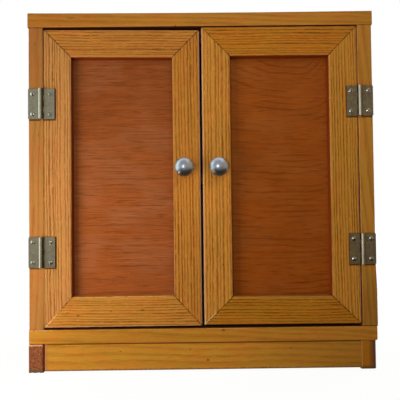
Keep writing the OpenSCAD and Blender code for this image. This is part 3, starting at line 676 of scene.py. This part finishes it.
def frame_coat(side, member, seed):
    """Ridged pine with dark mitres and stained opening walls."""
    node = side + "_" + member
    along, first, second = members[member]
    beside, ring, tone, fade, yellow = STRIPES[node]
    light, dark = waxed(tone, fade, yellow, (0.34, 0.25, 0.1))
    middle = (beside, -20.0) if along == Z else (-20.0, beside)
    coat = pine(
        node + "_pine", along, middle, ring, light, dark, late=0.9, seed=seed, wobble=5.0, ripple=1.3,
        lean=(0.004, 0.008), sharp=(0.4, 0.8), relief=0.4, fibre=0.3, patches=0.12, worn=0.45, broken=0.5,
        specks=0.5, glints=0.5, blush=0.4)
    corners, inner = door_corners(side), opening(side)
    if along == Z:
        towards = (math.copysign(1, inner[second][0] - corners[second][0]), 0, 0)
    else:
        towards = (0, 0, math.copysign(1, inner[second][1] - corners[second][1]))
    if member != "door_bottom_rail":
        coat.lay(coat.looks(towards, 0.6, 0.95) * 0.9, WALL_STAIN)
    tight = member == "door_hinge_stile" or node == "right_door_top_rail"
    painted_gap_shade(coat, tuple(-step for step in towards), tight)
    if member == "door_hinge_stile":
        hinge_shadows(coat, *sorted(DOORS[side]["sign"] * x for x in DOOR_LEAF))
    # The meeting stiles are made lighter round the middle, at the knobs' height.
    if member == "door_meeting_stile":
        lighter_middle = from_middle(coat, 0, LIGHTER_MIDDLE_HEIGHT, LIGHTER_MIDDLE_REACH, LIGHTER_MIDDLE_REACH)
        lightened = 1 - coat.step(lighter_middle, 0.3, 1.0)
        coat.scale(lightened * 0.16 + 1)
    # A band along one front edge: pale wear that is also a painted highlight on the rounded edge, and a dark
    # band along the right door's foot.
    edge = {"door_meeting_stile": (1, 2), "door_bottom_rail": (0, 1)}.get(member)
    if member == "door_hinge_stile" and side == "right":
        edge = (0, 3)
    if edge:
        band = line_mask(coat, corners[edge[0]], corners[edge[1]], 1.2, 0.9)
        rim = DARK_EDGE_BAND if node == "right_door_bottom_rail" else WORN_EDGE_AND_HIGHLIGHT
        share = 0.7
        if member == "door_hinge_stile":
            share = (1 - coat.step(coat.at(Z), 110, 300)) * 0.45 + 0.15
        coat.lay(band * coat.looks(TO_FRONT, 0.15, 0.4) * share, rim)
    for mark in FRAME_MARKS.get(node, []):
        spot(coat, mark, 0.65)
    for corner in (first, second):
        joint = line_mask(coat, corners[corner], inner[corner], 0.25, 0.7)
        filled = coat.step(coat.cloud(0.14, 6.0, 2.0), 0.36, 0.56) * 0.5 + 0.4
        if side == "left" and corner == 0:
            filled = filled * coat.step(share_along(coat, corners[0], inner[0]), 0.5, 0.75)
        coat.lay(joint * filled, MITRE_DIRT_AND_SLOT_DARK)
    return coat


frame_coats = {}
for side in DOORS:
    for number, member in enumerate(members):
        seed = 80 + 9 * number + (50 if side == "right" else 0)
        frame_coats[side + "_" + member] = frame_coat(side, member, seed)
print("frame members:", len(frame_coats))

# %% [markdown]
# Three details set this cupboard apart. The right door split along the mitre
# at the foot of its meeting stile and shows raw pale wood. The left door's
# lower outer mitre is rubbed, and its chipped ledge has a pale line that is
# wear as well as a painted highlight. The splits could be cut into the meshes,
# but they are only about a millimetre wide, and a broken pale line over the
# finish looks the same.

# %% Torn mitre and chipped ledges, with a painted highlight
TORN = srgb(236, 208, 160)
RUBBED_AND_LIT = srgb(244, 178, 110)


def torn_line(node, start, end, strength, width, paint=TORN):
    """A broken pale line."""
    coat = frame_coats[node]
    run = share_along(coat, start, end)
    within = coat.step(run, 0.0, 0.05) * (1 - coat.step(run, 0.9, 1.0))
    broken = coat.step(coat.cloud(0.35, 3.0, 1.0), 0.36, 0.5)
    here = line_mask(coat, start, end, width, 0.5) * within * broken * coat.looks(TO_FRONT, 0.3, 0.6)
    coat.lay(here * strength, paint)


for node in ("right_door_meeting_stile", "right_door_bottom_rail"):
    torn_line(node, (1.2, 59.6), (19.5, 78.0), 0.6, 0.3)
for node in ("left_door_hinge_stile", "left_door_bottom_rail"):
    torn_line(node, (-206.0, 59.6), (-189.0, 78.1), 0.6, 0.45, RUBBED_AND_LIT)
# Along the left door's chipped ledge the pale line is a painted highlight as well as wear.
torn_line("left_door_bottom_rail", (-171.0, 98.0), (-38.0, 98.6), 0.75, 0.7, RUBBED_AND_LIT)
for coat in frame_coats.values():
    coat.wear("Base Color", coat.colour)
print("worn places painted")

# %% [markdown]
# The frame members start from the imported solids, because those already hold
# the rebate, the mitre cuts and every screw hole. A copy of the mesh is merged
# and cleaned, sliced across its length, and then its arrises are pushed about
# by a few tenths of a millimetre. The front edge of each mitre gets a small
# bevel, so that two members meet in a real groove. A Bevel modifier alone
# would round everything evenly, which old wood never is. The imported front
# edges are rounded, which makes every gap look wide, so they are flattened
# where a door nearly touches the case.

# %% Helpers for meshes
def merged_copy(node):
    """The node's mesh with its triangles joined into whole faces."""
    shape = bmesh.new()
    shape.from_mesh(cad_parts[node].data)
    bmesh.ops.remove_doubles(shape, verts=shape.verts[:], dist=0.002 * MM)
    bmesh.ops.dissolve_limit(shape, angle_limit=math.radians(0.4), verts=shape.verts[:], edges=shape.edges[:])
    return shape


def cut(shape, axis, level):
    """Cuts the mesh through at one place along an axis, in millimetres."""
    direction = Vector([float(number == axis) for number in AXES])
    bmesh.ops.bisect_plane(shape, geom=shape.verts[:] + shape.edges[:] + shape.faces[:], dist=1e-7,
                           plane_co=direction * (level * MM), plane_no=direction)


def slice_across(shape, axis, low, high, pitch):
    """Cuts the mesh at even steps along an axis, between two places in millimetres."""
    count = max(1, round((high - low) / pitch))
    for number in range(1, count):
        cut(shape, axis, low + (high - low) * number / count)


def settle(shape, name, body, coat, nodes, flats=False):
    """Makes the mesh a piece that rides on a body and stands for its CAD nodes.

    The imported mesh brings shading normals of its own. They don't fit the new
    shape, so they are dropped. With flats, faces along an axis stay dead flat.
    """
    mesh = bpy.data.meshes.new(name)
    shape.to_mesh(mesh)
    shape.free()
    if "custom_normal" in mesh.attributes:
        mesh.attributes.remove(mesh.attributes["custom_normal"])
    mesh.set_sharp_from_angle(angle=math.radians(30))
    for face in mesh.polygons:
        face.use_smooth = not (flats and max(abs(part) for part in face.normal) > 0.9999)
    mesh.materials.append(coat.material)
    piece = bpy.data.objects.new(name, mesh)
    bpy.context.scene.collection.objects.link(piece)
    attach(piece, body)
    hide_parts(*nodes)
    return piece


print("mesh helpers ready")

# %% Grooves along the mitres
GROOVE = 0.35
TOUCH = 0.05


def distance_from_mitre(point, start, end):
    """Distance in millimetres from the mitre line through two corners."""
    (x0, z0), (x1, z1) = start, end
    length = math.hypot(x1 - x0, z1 - z0)
    return abs((point.x / MM - x0) * (z1 - z0) - (point.z / MM - z0) * (x1 - x0)) / length


def groove_mitres(shape, side, corners):
    """Bevels the front edges of a member's mitre cuts."""
    outer, inner = door_corners(side), opening(side)
    chosen = [edge for edge in shape.edges for corner in corners
              if all(distance_from_mitre(v.co, outer[corner], inner[corner]) < TOUCH
                     and v.co.y / MM < FRONT + TOUCH for v in edge.verts)]
    bmesh.ops.bevel(shape, geom=chosen, offset=GROOVE * MM, offset_type="OFFSET", segments=1,
                    profile=0.5, affect="EDGES", material=-1, clamp_overlap=True)
    return len(chosen)


print("mitre groove, mm:", GROOVE)

# %% How much of its rounding each front edge keeps
def climb(value, low, high):
    """Rises evenly from 0 at low to 1 at high."""
    return min(max((value - low) / (high - low), 0.0), 1.0)


def left_gap(z):
    return 0.3 + 0.4 * climb(z, 345, 385)


def right_gap(z):
    return 1.0 - 0.5 * climb(z, 110, 350)


def top_gap(x):
    return 1.0 - 0.6 * climb(x, -10, 10)


EDGES_KEPT = {"left_side": left_gap, "left_door_hinge_stile": left_gap, "right_side": right_gap,
              "right_door_hinge_stile": right_gap, "right_door_top_rail": top_gap, "top_board": top_gap}
print("flattened edges:", ", ".join(EDGES_KEPT))

# %% Worn edges
ARRIS = 2.2
BESIDE_ARRIS = 3.2
SLICE = 4.0


def square_edge(shape, node, along, across, level):
    """Flattens the rounded front edge beside a tight gap, down to the share that it keeps."""
    if node not in EDGES_KEPT:
        return
    for vertex in shape.verts:
        place = vertex.co / MM
        if place.y < FRONT + ARRIS and abs(place[across] - level) < ARRIS + 0.1:
            vertex.co.y = (FRONT + (place.y - FRONT) * EDGES_KEPT[node](place[along])) * MM


def wear_arrises(shape, along, across, edges, depth, seed):
    """Pushes the vertices near the front edges inwards by uneven amounts."""
    for vertex in shape.verts:
        place = vertex.co / MM
        if place.y > FRONT + ARRIS:
            continue
        for level, inward in edges:
            away = abs(place[across] - level)
            if away < ARRIS:
                ripple = noise.noise(Vector((place[along] * 0.09, seed, level))) * 0.5 + 0.5
                chip = max(0.0, noise.noise(Vector((place[along] * 0.33, seed + 7, level))) - 0.25)
                push = depth * (ripple * 0.5 + chip * 1.6) * (1 - away / ARRIS)
                vertex.co[across] += inward * push * MM
                vertex.co.y += push * 0.8 * MM


def work_edges(shape, node, along, edges, gap_level, depth, seed):
    """Cuts a member or board into short stretches and wears its two front edges.

    Each of the edges is a place across the piece and the way inwards from
    there. The one at gap_level is flattened first if EDGES_KEPT names the piece.
    """
    low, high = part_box(node)
    across = X if along == Z else Z
    for level, inward in edges:
        cut(shape, across, level + inward * BESIDE_ARRIS)
    slice_across(shape, along, low[along] / MM, high[along] / MM, SLICE)
    square_edge(shape, node, along, across, gap_level)
    wear_arrises(shape, along, across, edges, depth, seed)


print("slices along a piece, mm:", SLICE)

# %% Work the frame members
WEAR_DEPTH = 0.3
LEDGE_WEAR = {"left_door_bottom_rail": 0.7}
for side in DOORS:
    outer, inner = door_corners(side), opening(side)
    for member, (along, first, second) in members.items():
        node = side + "_" + member
        flat = 0 if along == Z else 1
        outer_level, inner_level = outer[first][flat], inner[first][flat]
        inward = math.copysign(1, inner_level - outer_level)
        shape = merged_copy(node)
        grooves = groove_mitres(shape, side, (first, second))
        edges = [(outer_level, inward), (inner_level, -inward)]
        depth = LEDGE_WEAR.get(node, WEAR_DEPTH)
        work_edges(shape, node, along, edges, outer_level, depth, len(node))
        piece = settle(shape, node + "_worn", side + "_door", frame_coats[node], [node])
        print(piece.name, "faces:", len(piece.data.polygons), "mitre edges:", grooves)

# %% [markdown]
# The boards of the case get the same treatment. Solid wood also moves over the
# years: the top board has lifted at its left end, the right side has cupped
# outwards near its foot, and both sides have swollen towards their doors. A
# Lattice could bend them, but it is hard to keep still where two boards meet.
# So each bend is a short formula of the place along the board, and it grows
# from nothing at one face to its full size at the other, and every joint stays
# closed.

# %% Bends of the case boards
def lifted_end(x):
    """How far the top board's upper face has risen, in millimetres."""
    return 1.5 * ((x - 55) / 283) ** 2 - 0.7


def cupped_foot(z):
    """How far the right side's outer face has moved outwards, in millimetres."""
    share = 1 - climb(z, 95, 150)
    return 1.4 * share * share * (3 - 2 * share)


def swollen_left(z):
    """How far the left side's inner face has moved towards its door, in millimetres."""
    below_top = 1 - climb(z, 400, 454)
    return climb(z, 56, 68) * (0.95 - 0.4 * climb(z, 312, 340)) * below_top


def swollen_right(z):
    """How far the right side's inner face has moved towards its door, in millimetres."""
    below_top = 1 - climb(z, 446, 454)
    return 0.4 * climb(z, 110, 350) * below_top


def bend(shape, along, across, fixed, moving, amount):
    """Moves each vertex across the board by its share of the bend."""
    for vertex in shape.verts:
        place = vertex.co / MM
        share = (place[across] - fixed) / (moving - fixed)
        vertex.co[across] += amount(place[along]) * share * MM * math.copysign(1, moving - fixed)


# Which face moves, 0 for the lower or left one and 1 for the other, and how far
BENDS = {"top_board": [(1, lifted_end)], "left_side": [(1, swollen_left)],
         "right_side": [(1, cupped_foot), (0, swollen_right)]}
print("bends:", ", ".join(BENDS))

# %% Work the case boards
for node, (along, *_, seed) in boards.items():
    across = X if along == Z else Z
    faces = [corner[across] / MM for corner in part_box(node)]
    shape = merged_copy(node)
    edges = [(faces[0], 1), (faces[1], -1)]
    work_edges(shape, node, along, edges, min(faces, key=abs), WEAR_DEPTH / 2, seed)
    for moving, amount in BENDS.get(node, ()):
        bend(shape, along, across, faces[1 - moving], faces[moving], amount)
    piece = settle(shape, node + "_worn", "case", board_coats[node], [node])
    print(piece.name, "faces:", len(piece.data.polygons))

# %% [markdown]
# Two runners carry the case. They run from front to back, so their front ends
# show end grain. The left one was sawn rough and stands proud, and grit has
# chewed its lower edge. Its end is cut into a fine grid whose points are pushed
# in by noise. Displacement from a texture would need the same grid, and this
# way the ragged edge is real in the finished mesh. The right end is worn smooth.

# %% Finish of the left runner
SAWN = srgb(138, 78, 46)
PORE = srgb(88, 42, 28)
FLECK = srgb(190, 124, 84)
TOP_LIGHT = srgb(214, 150, 100)
DUST = srgb(86, 76, 52)
rough = pine("left_runner_pine", Y, (-330.0, 150.0), 3.4, srgb(170, 106, 58), srgb(132, 78, 44),
             late=0.5, seed=140, wobble=3.0, relief=0.4, gloss=0.75, worn=0.1)
grit = rough.cloud(0.42, 2.0, 3.0)
pores = rough.step(rough.cloud((0.62, 0.62, 0.5), 5.0, 2.0), 0.5, 0.62)
flecks = rough.step(rough.cloud((0.5, 0.5, 0.6), 9.0, 2.0), 0.56, 0.68)
sawn = rough.looks(TO_FRONT, 0.2, 0.6)
rough.lay(sawn, rough.brighten(SAWN, grit * 1.4 + 0.22))
rough.lay(sawn * pores * 0.7, PORE)
rough.lay(sawn * flecks * 0.4, FLECK)
ragged_height = rough.at(Z) + grit * 3
# Painted highlight along the top edge of the sawn end.
lit_top_edge = rough.step(ragged_height, 35.6, 36.8)
rough.lay(lit_top_edge * sawn * 0.75, TOP_LIGHT)
foot_dirt = 1 - rough.step(ragged_height, 4.6, 7.4)
rough.lay(foot_dirt * 0.8, DUST)
rough.wear("Base Color", rough.colour)
print("left runner finished")

# %% Rough end of the left runner
GRIT_PITCH = 0.8
GRIT_DEPTH = 0.5
GRIT_REACH = 2.5
CHEWED = 1.2

shape = merged_copy("left_runner")
low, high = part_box("left_runner")
slice_across(shape, X, low.x / MM, high.x / MM, GRIT_PITCH)
slice_across(shape, Z, low.z / MM, high.z / MM, GRIT_PITCH)
slice_across(shape, Y, FRONT, FRONT + 4, 1.0)
for vertex in shape.verts:
    place = vertex.co / MM
    if place.y < FRONT + GRIT_REACH:
        fade = 1 - max(0.0, place.y - FRONT) / GRIT_REACH
        coarse = noise.noise(place * 0.8)
        fine = max(0.0, noise.noise(place * 1.7 + Vector((9, 0, 0))))
        vertex.co.y += GRIT_DEPTH * (0.5 + 0.5 * coarse + 0.5 * fine) * fade * MM
        if place.z < CHEWED:
            chew = 0.6 + noise.noise(Vector((place.x * 0.45, 3.0, 0.0)))
            vertex.co.z += max(0.0, chew) * fade * (CHEWED - place.z) * MM
settle(shape, "left_runner_rough", "case", rough, ["left_runner"])
print("rough end: runner", [round(side / MM, 1) for side in high - low])

# %% Right runner, worn smooth, with painted highlight and shade at its front end
INNER_ARRIS_HIGHLIGHT = srgb(184, 130, 66)
TURNED_AWAY_SHADE = srgb(122, 62, 22)
OUTER_EDGE_SHADE = srgb(88, 62, 46)
FOOT_EDGE = srgb(64, 36, 20)
smooth = pine("right_runner_pine", Y, (150.0, 140.0), 4.0, *waxed(0.98, 0.05), late=0.3, seed=150,
              wobble=3.0, relief=0.05, fibre=0.06, worn=0.2)
outward = smooth.at(X)
front_end = 1 - smooth.step(smooth.at(Y) + smooth.cloud(0.2, 4.0) * 10, -92, -80)
# A painted highlight along the inner arris, and painted shade where the front end turns away towards the
# outside.
lit_arris = 1 - smooth.step(outward, 207.2, 208.6)
smooth.lay(lit_arris * 0.7, INNER_ARRIS_HIGHLIGHT)
turned_shade = smooth.step(outward, 215.5, 219.0) * front_end
smooth.lay(turned_shade * 0.7, TURNED_AWAY_SHADE)
outermost_shade = smooth.step(outward, 219.0, 222.5) * front_end
smooth.lay(outermost_shade * 0.75, OUTER_EDGE_SHADE)
low_edge = 1 - smooth.step(smooth.at(Z), 1.5, 6.0)
smooth.lay(low_edge * 0.7, FOOT_EDGE)
smooth.wear("Base Color", smooth.colour)
finish("right_runner", smooth)
print("right runner finished")

# %% [markdown]
# The hinges are plain stamped butts, once nickel plated. The plating has gone
# dull and greenish, darker on the right-hand pair. It is a metal, so most of
# its colour comes from what it mirrors, and the tarnish sits on top as uneven
# roughness and colour. The leaves are copies of the imported ones with their
# outer edges eased, since punched plates have no razor edges. A Bevel modifier
# would round the rims of the screw holes too, so the long, sharp edges are
# picked out and bevelled alone.

# %% Metal finishes
# The side that faces the window gets a painted highlight, and the side turned away gets painted shade.
LIT_SIDE = Vector((-0.62, -0.78, 0.0))
SHADED_SIDE = Vector((0.86, -0.5, 0.0))
PAINTED_HIGHLIGHT = srgb(236, 226, 206)
PAINTED_SHADE_DARK = srgb(50, 44, 24)


def metal(name, colour, shade, rough, shine, cells=1.5, mottle=0.4, lightened=0.0, relief=0.02, slots=False):
    """A metal with cloudy tarnish, a painted highlight on the side towards the window, painted shade on the
    side turned away, and the screws' slots painted dark.
    """
    coat = Coat(name, Metallic=shine, Specular_IOR_Level=0.4)
    cloud = coat.cloud(1 / cells, len(name), 3.0)
    fine = coat.cloud(2.2, len(name) + 4, 2.0)
    tarnish = coat.step(cloud, 0.35, 0.7) * mottle
    coat.colour = colour
    coat.lay(tarnish, shade)
    coat.scale(fine * 0.3 + 0.85)
    if lightened:
        coat.lay(coat.looks(LIT_SIDE, 0.86, 0.96) * lightened, PAINTED_HIGHLIGHT)
        coat.lay(coat.looks(SHADED_SIDE, 0.78, 0.92) * 0.8, PAINTED_SHADE_DARK)
    # The screws' slots are painted dark, on their floors and walls.
    if slots:
        towards = coat.one("ABSOLUTE", coat.dot(coat.facing, TO_FRONT))
        floor, wall = coat.step(towards, 0.996, 0.999), 1 - coat.step(towards, 0.05, 0.2)
        coat.lay(coat.one("MAXIMUM", floor, wall) * 0.92, MITRE_DIRT_AND_SLOT_DARK)
    coat.wear("Base Color", coat.colour)
    coat.wear("Roughness", cloud * 0.16 + fine * 0.08 + (rough - 0.12))
    coat.bump(fine * 0.5 + cloud * 0.5, relief)
    return coat


NICKEL = {"left": ("old_nickel_pale", srgb(172, 167, 132), srgb(164, 144, 122)),
          "right": ("old_nickel_dark", srgb(142, 128, 88), srgb(130, 104, 80))}
nickel = {side: metal(*tones, 0.3, 0.9, cells=5.0, mottle=1.0, lightened=0.7) for side, tones in NICKEL.items()}
steel = metal("screw_steel", srgb(182, 178, 156), srgb(116, 106, 84), 0.3, 1.0, lightened=0.8, slots=True)
iron = metal("dark_iron", srgb(92, 88, 84), srgb(64, 50, 40), 0.55, 0.8)
plate = metal("strike_steel", srgb(168, 166, 160), srgb(120, 112, 100), 0.4, 0.9, cells=6.0)
print("metals ready")

# %% Hinge leaves with eased edges
LEAF_EASE = 0.22
SHORT_EDGE = 1.1
SHARP_TURN = math.radians(50)


def eased_leaf(node, side, body):
    """A copy of a leaf whose long, sharp edges are eased."""
    shape = merged_copy(node)
    outline = [edge for edge in shape.edges
               if edge.calc_length() > SHORT_EDGE * MM and len(edge.link_faces) == 2
               and edge.calc_face_angle(0.0) > SHARP_TURN]
    bmesh.ops.bevel(shape, geom=outline, offset=LEAF_EASE * MM, offset_type="OFFSET", segments=2, profile=0.5,
                    affect="EDGES", material=-1, clamp_overlap=True)
    return settle(shape, node + "_eased", body, nickel[side], [node], flats=True)


for side in DOORS:
    for level in ("upper", "lower"):
        for kind, body in (("case", "case"), ("door", side + "_door")):
            piece = eased_leaf(f"{side}_{level}_{kind}_leaf", side, body)
            print(piece.name, "faces:", len(piece.data.polygons))
        finish(f"{side}_{level}_hinge_pin", nickel[side])

# %% [markdown]
# The knobs are turned and plated: a foot against the door, a narrow neck, a
# flare and a domed face. A turned piece is a spun profile, so the outline is
# drawn once, from the axis out and back to the axis, and spun round the line
# of the screw. A UV sphere would give the dome but neither neck nor rim.

# %% Profile of a knob
KNOB_RADIUS, RIM_BACK, RIM_FRONT, TIP = 12.5, 16.6, 18.4, 25.0
DOME_STEPS = 20
dome_height = TIP - RIM_FRONT
dome_radius = (KNOB_RADIUS ** 2 + dome_height ** 2) / (2 * dome_height)
half_angle = math.asin(KNOB_RADIUS / dome_radius)
bore = [(0.0, 9.0), (2.05, 9.0), (2.05, 0.0)]
foot = [(7.8, 0.0), (8.0, 0.3), (7.5, 1.5), (7.0, 2.0), (5.6, 2.4), (4.9, 3.2)]
neck = [(4.8, 7.0), (4.9, 9.8), (5.6, 11.8), (7.6, 13.9), (10.2, 15.5)]
rim = [(12.1, RIM_BACK - 0.1), (12.42, RIM_BACK + 0.3), (KNOB_RADIUS, RIM_BACK + 0.9)]
angles = [half_angle * (1 - step / DOME_STEPS) for step in range(DOME_STEPS + 1)]
dome = [(dome_radius * math.sin(angle), TIP - dome_radius * (1 - math.cos(angle))) for angle in angles]
knob_profile = bore + foot + neck + rim + dome
print("knob profile points:", len(knob_profile))

# %% Turned knobs
KNOB_IN = 21.0
KNOB_HEIGHT = 265.5


def turned_knob(side):
    """Spins the profile round the line of the knob's screw."""
    x = DOORS[side]["sign"] * (MEETING_EDGE + KNOB_IN)
    shape = bmesh.new()
    ring = [shape.verts.new(((x + radius) * MM, (FRONT - reach) * MM, KNOB_HEIGHT * MM))
            for radius, reach in knob_profile]
    edges = [shape.edges.new(pair) for pair in zip(ring, ring[1:])]
    bmesh.ops.spin(shape, geom=ring + edges, cent=(x * MM, 0, KNOB_HEIGHT * MM), axis=(0, 1, 0),
                   angle=math.tau, steps=72, use_merge=True)
    bmesh.ops.remove_doubles(shape, verts=shape.verts[:], dist=0.001 * MM)
    bmesh.ops.recalc_face_normals(shape, faces=shape.faces[:])
    return settle(shape, side + "_knob_turned", side + "_door", plating, [side + "_knob"])


plating = Coat("knob_plating", Metallic=1.0, Specular_IOR_Level=0.5)
smear = plating.cloud(0.16, 4.0, 3.0)
pits = plating.step(plating.cloud(1.5, 6.0, 2.0), 0.6, 0.72)
plating.colour = srgb(196, 201, 206)
plating.lay(plating.step(smear, 0.35, 0.7) * 0.4, srgb(172, 164, 160))
plating.lay(pits * 0.3, srgb(104, 96, 84))
plating.wear("Base Color", plating.colour)
plating.wear("Roughness", smear * 0.14 + pits * 0.1 + 0.24)
plating.bump(plating.cloud(0.7, 8.0, 2.0), 0.01)
for side in DOORS:
    piece = turned_knob(side)
    print(piece.name, "faces:", len(piece.data.polygons))

# %% [markdown]
# Screws, nails, pins, the catch and its strike plates already have the right
# shapes. They could be modelled afresh like the knobs, but nobody would see a
# difference at their size, so they only get their finishes.

# %% Small metal and the catch
plastic = Coat("brown_plastic", Roughness=0.45, Specular_IOR_Level=0.4)
grain = plastic.cloud(3.0, 1.0, 2.0)
plastic.colour = srgb(84, 56, 38)
plastic.scale(grain * 0.3 + 0.85)
plastic.wear("Base Color", plastic.colour)
plastic.bump(grain, 0.03)

SCREWS = ("case_leaf_screws", "left_door_leaf_screws", "right_door_leaf_screws", "catch_screws",
          "left_strike_screws", "right_strike_screws", "cleat_screws")
IRONS = ("case_nails", "back_panel_pins", "catch_magnets", "left_door_panel_pins", "right_door_panel_pins",
         "left_door_mitre_pins", "right_door_mitre_pins", "left_knob_bolt", "right_knob_bolt",
         "left_knob_washer", "right_knob_washer")
for nodes, coat in ((SCREWS, steel), (IRONS, iron), (("left_strike_plate", "right_strike_plate"), plate),
                    (("catch_body",), plastic)):
    for node in nodes:
        finish(node, coat)
print("small parts finished:", len(SCREWS) + len(IRONS) + 3)

# %% [markdown]
# The studio is a pale floor in a white room. Rays from the camera see plain
# white there, while the wood gets a soft part of it. The metal needs more than
# white to look like metal, so cards stand where only mirror rays find them: a
# grey wall behind the camera, a warm one at the right, a window at the left, a
# floor whose near part is darker, and a small bright patch on it. A
# photographed room would do the same, but it brings a picture along, and cards
# are easier to place.

# %% Floor
def sheet(name, corners, material):
    """A flat stage piece from four corners in metres."""
    shape = bmesh.new()
    shape.faces.new([shape.verts.new(corner) for corner in corners])
    mesh = bpy.data.meshes.new(name)
    shape.to_mesh(mesh)
    shape.free()
    mesh.materials.append(material)
    made = bpy.data.objects.new(name, mesh)
    bpy.context.scene.collection.objects.link(made)
    return made


def lying(left, front, right, back, height):
    """Corners of a card that lies level."""
    return [(left, front, height), (right, front, height), (right, back, height), (left, back, height)]


def seen_directly(nodes):
    """1 for rays from the camera, and for mirror and glass rays."""
    camera_ray, glossy_ray, glass_ray = [
        nodes.node("LightPath", output=f"Is {kind} Ray") for kind in ("Camera", "Glossy", "Transmission")]
    return nodes.one("MAXIMUM", nodes.one("MAXIMUM", camera_ray, glossy_ray), glass_ray)


FLOOR_GLOW = 1.1
floor_coat = Coat("pale_floor", Roughness=0.9, Specular_IOR_Level=0.0)
floor_coat.shader.inputs["Base Color"].default_value = srgb(196, 196, 192)
glow = floor_coat.node("Emission", None, {"Color": (1, 1, 1, 1), "Strength": FLOOR_GLOW})
pale = Ink(floor_coat, floor_coat.shader.outputs[0])
far_off = floor_coat.step(floor_coat.length(floor_coat.metres), 0.35, 0.9)
share = seen_directly(floor_coat) * (far_off * 0.14 + 0.86)
surface = floor_coat.node("MixShader", None, {0: share, 1: pale, 2: glow})
floor_coat.feed("Material Output", "Surface", surface)
sheet("floor", lying(-8, -8, 8, 8, 0), floor_coat.material)
print("floor glow:", FLOOR_GLOW)

# %% Cards
CARD_HEIGHT = 0.004
WINDOW = (1.15, 1.4, 1.4, 1.0)
LOW_SUN = (7.0, 6.2, 5.0, 1.0)


def standing(start, end, low, high):
    """Corners of a card that stands over the line between two places on the floor."""
    return [(*start, low), (*end, low), (*end, high), (*start, high)]


CARDS = {
    "wall_card": (srgb(164, 171, 182), standing((-4.5, -2.2), (1.6, -2.2), 0, 6.0)),
    "side_card": (srgb(184, 168, 148), standing((1.3, -2.2), (1.3, 0.1), 0, 2.0)),
    "floor_card": (srgb(46, 42, 32), lying(-1.3, -0.5, 1.3, -0.101, CARD_HEIGHT)),
    "carpet_card": (srgb(132, 124, 120), lying(-1.3, -2.2, 1.3, -0.5, CARD_HEIGHT)),
    "window_card": (WINDOW, standing((-0.62, -0.5), (-0.62, 0.4), 0.02, 0.9)),
    "low_card": (LOW_SUN, lying(-0.33, -0.24, -0.27, -0.18, CARD_HEIGHT + 0.002)),
}
for name, (colour, corners) in CARDS.items():
    coat = Coat(name)
    glow = coat.node("Emission", None, {"Color": colour, "Strength": 1.0})
    coat.feed("Material Output", "Surface", glow)
    made = sheet(name, corners, coat.material)
    made.visible_camera = made.visible_diffuse = made.visible_shadow = made.visible_transmission = False
print("cards:", ", ".join(CARDS))

# %% Room
ROOM_LIGHT = 0.22
room = bpy.data.worlds.new("room")
room.use_nodes = True
bpy.context.scene.world = room
air = Nodes(room.node_tree)
brightness = {"Value": seen_directly(air), "To Min": ROOM_LIGHT, "To Max": 1.0}
air.feed("Background", "Strength", air.node("MapRange", None, brightness))
air.tree.nodes["Background"].inputs["Color"].default_value = (1, 1, 1, 1)
bpy.context.scene.view_settings.view_transform = "Standard"
print("room light:", ROOM_LIGHT)

# %% [markdown]
# A window low at the left is the main light, which is why the right side of
# the cupboard falls into shade. A wide soft lamp from above lifts the top, two
# behind the front keep the back and the right side readable, and a small one
# near the camera puts a spark on the knobs. Only that one shows in the metal:
# the others would print bright squares there. Sun lamps would be simpler, but
# only a wide lamp close by gives such soft shadows and fades across the front.

# %% Lamps
LAMPS = {
    "window": {"at": (-0.47, -0.4, 0.16), "towards": (-0.1, -0.1, 0.2), "size": 0.32, "power": 2.5},
    "ceiling": {"at": (0.12, -0.48, 0.52), "towards": (0.05, -0.1, 0.25), "size": 0.4, "power": 0.75},
    "rear": {"at": (0.1, 0.7, 0.95), "towards": (0.0, 0.05, 0.36), "size": 0.5, "power": 6.5},
    "right": {"at": (0.9, 0.3, 0.5), "towards": (0.2, 0.0, 0.22), "size": 0.5, "power": 2.2},
    "spark": {"at": (-0.15, -0.85, 0.32), "towards": (0.0, -0.1, 0.26), "size": 0.05, "power": 0.6},
}
for name, lamp in LAMPS.items():
    light = bpy.data.lights.new(name, "AREA")
    light.energy = lamp["power"]
    light.size = lamp["size"]
    holder = bpy.data.objects.new(name, light)
    holder.location = lamp["at"]
    holder.rotation_mode = "QUATERNION"
    holder.rotation_quaternion = (Vector(lamp["towards"]) - Vector(lamp["at"])).to_track_quat("-Z", "Y")
    holder.visible_camera = False
    holder.visible_glossy = name == "spark"
    bpy.context.scene.collection.objects.link(holder)
print("lamps:", ", ".join(LAMPS))
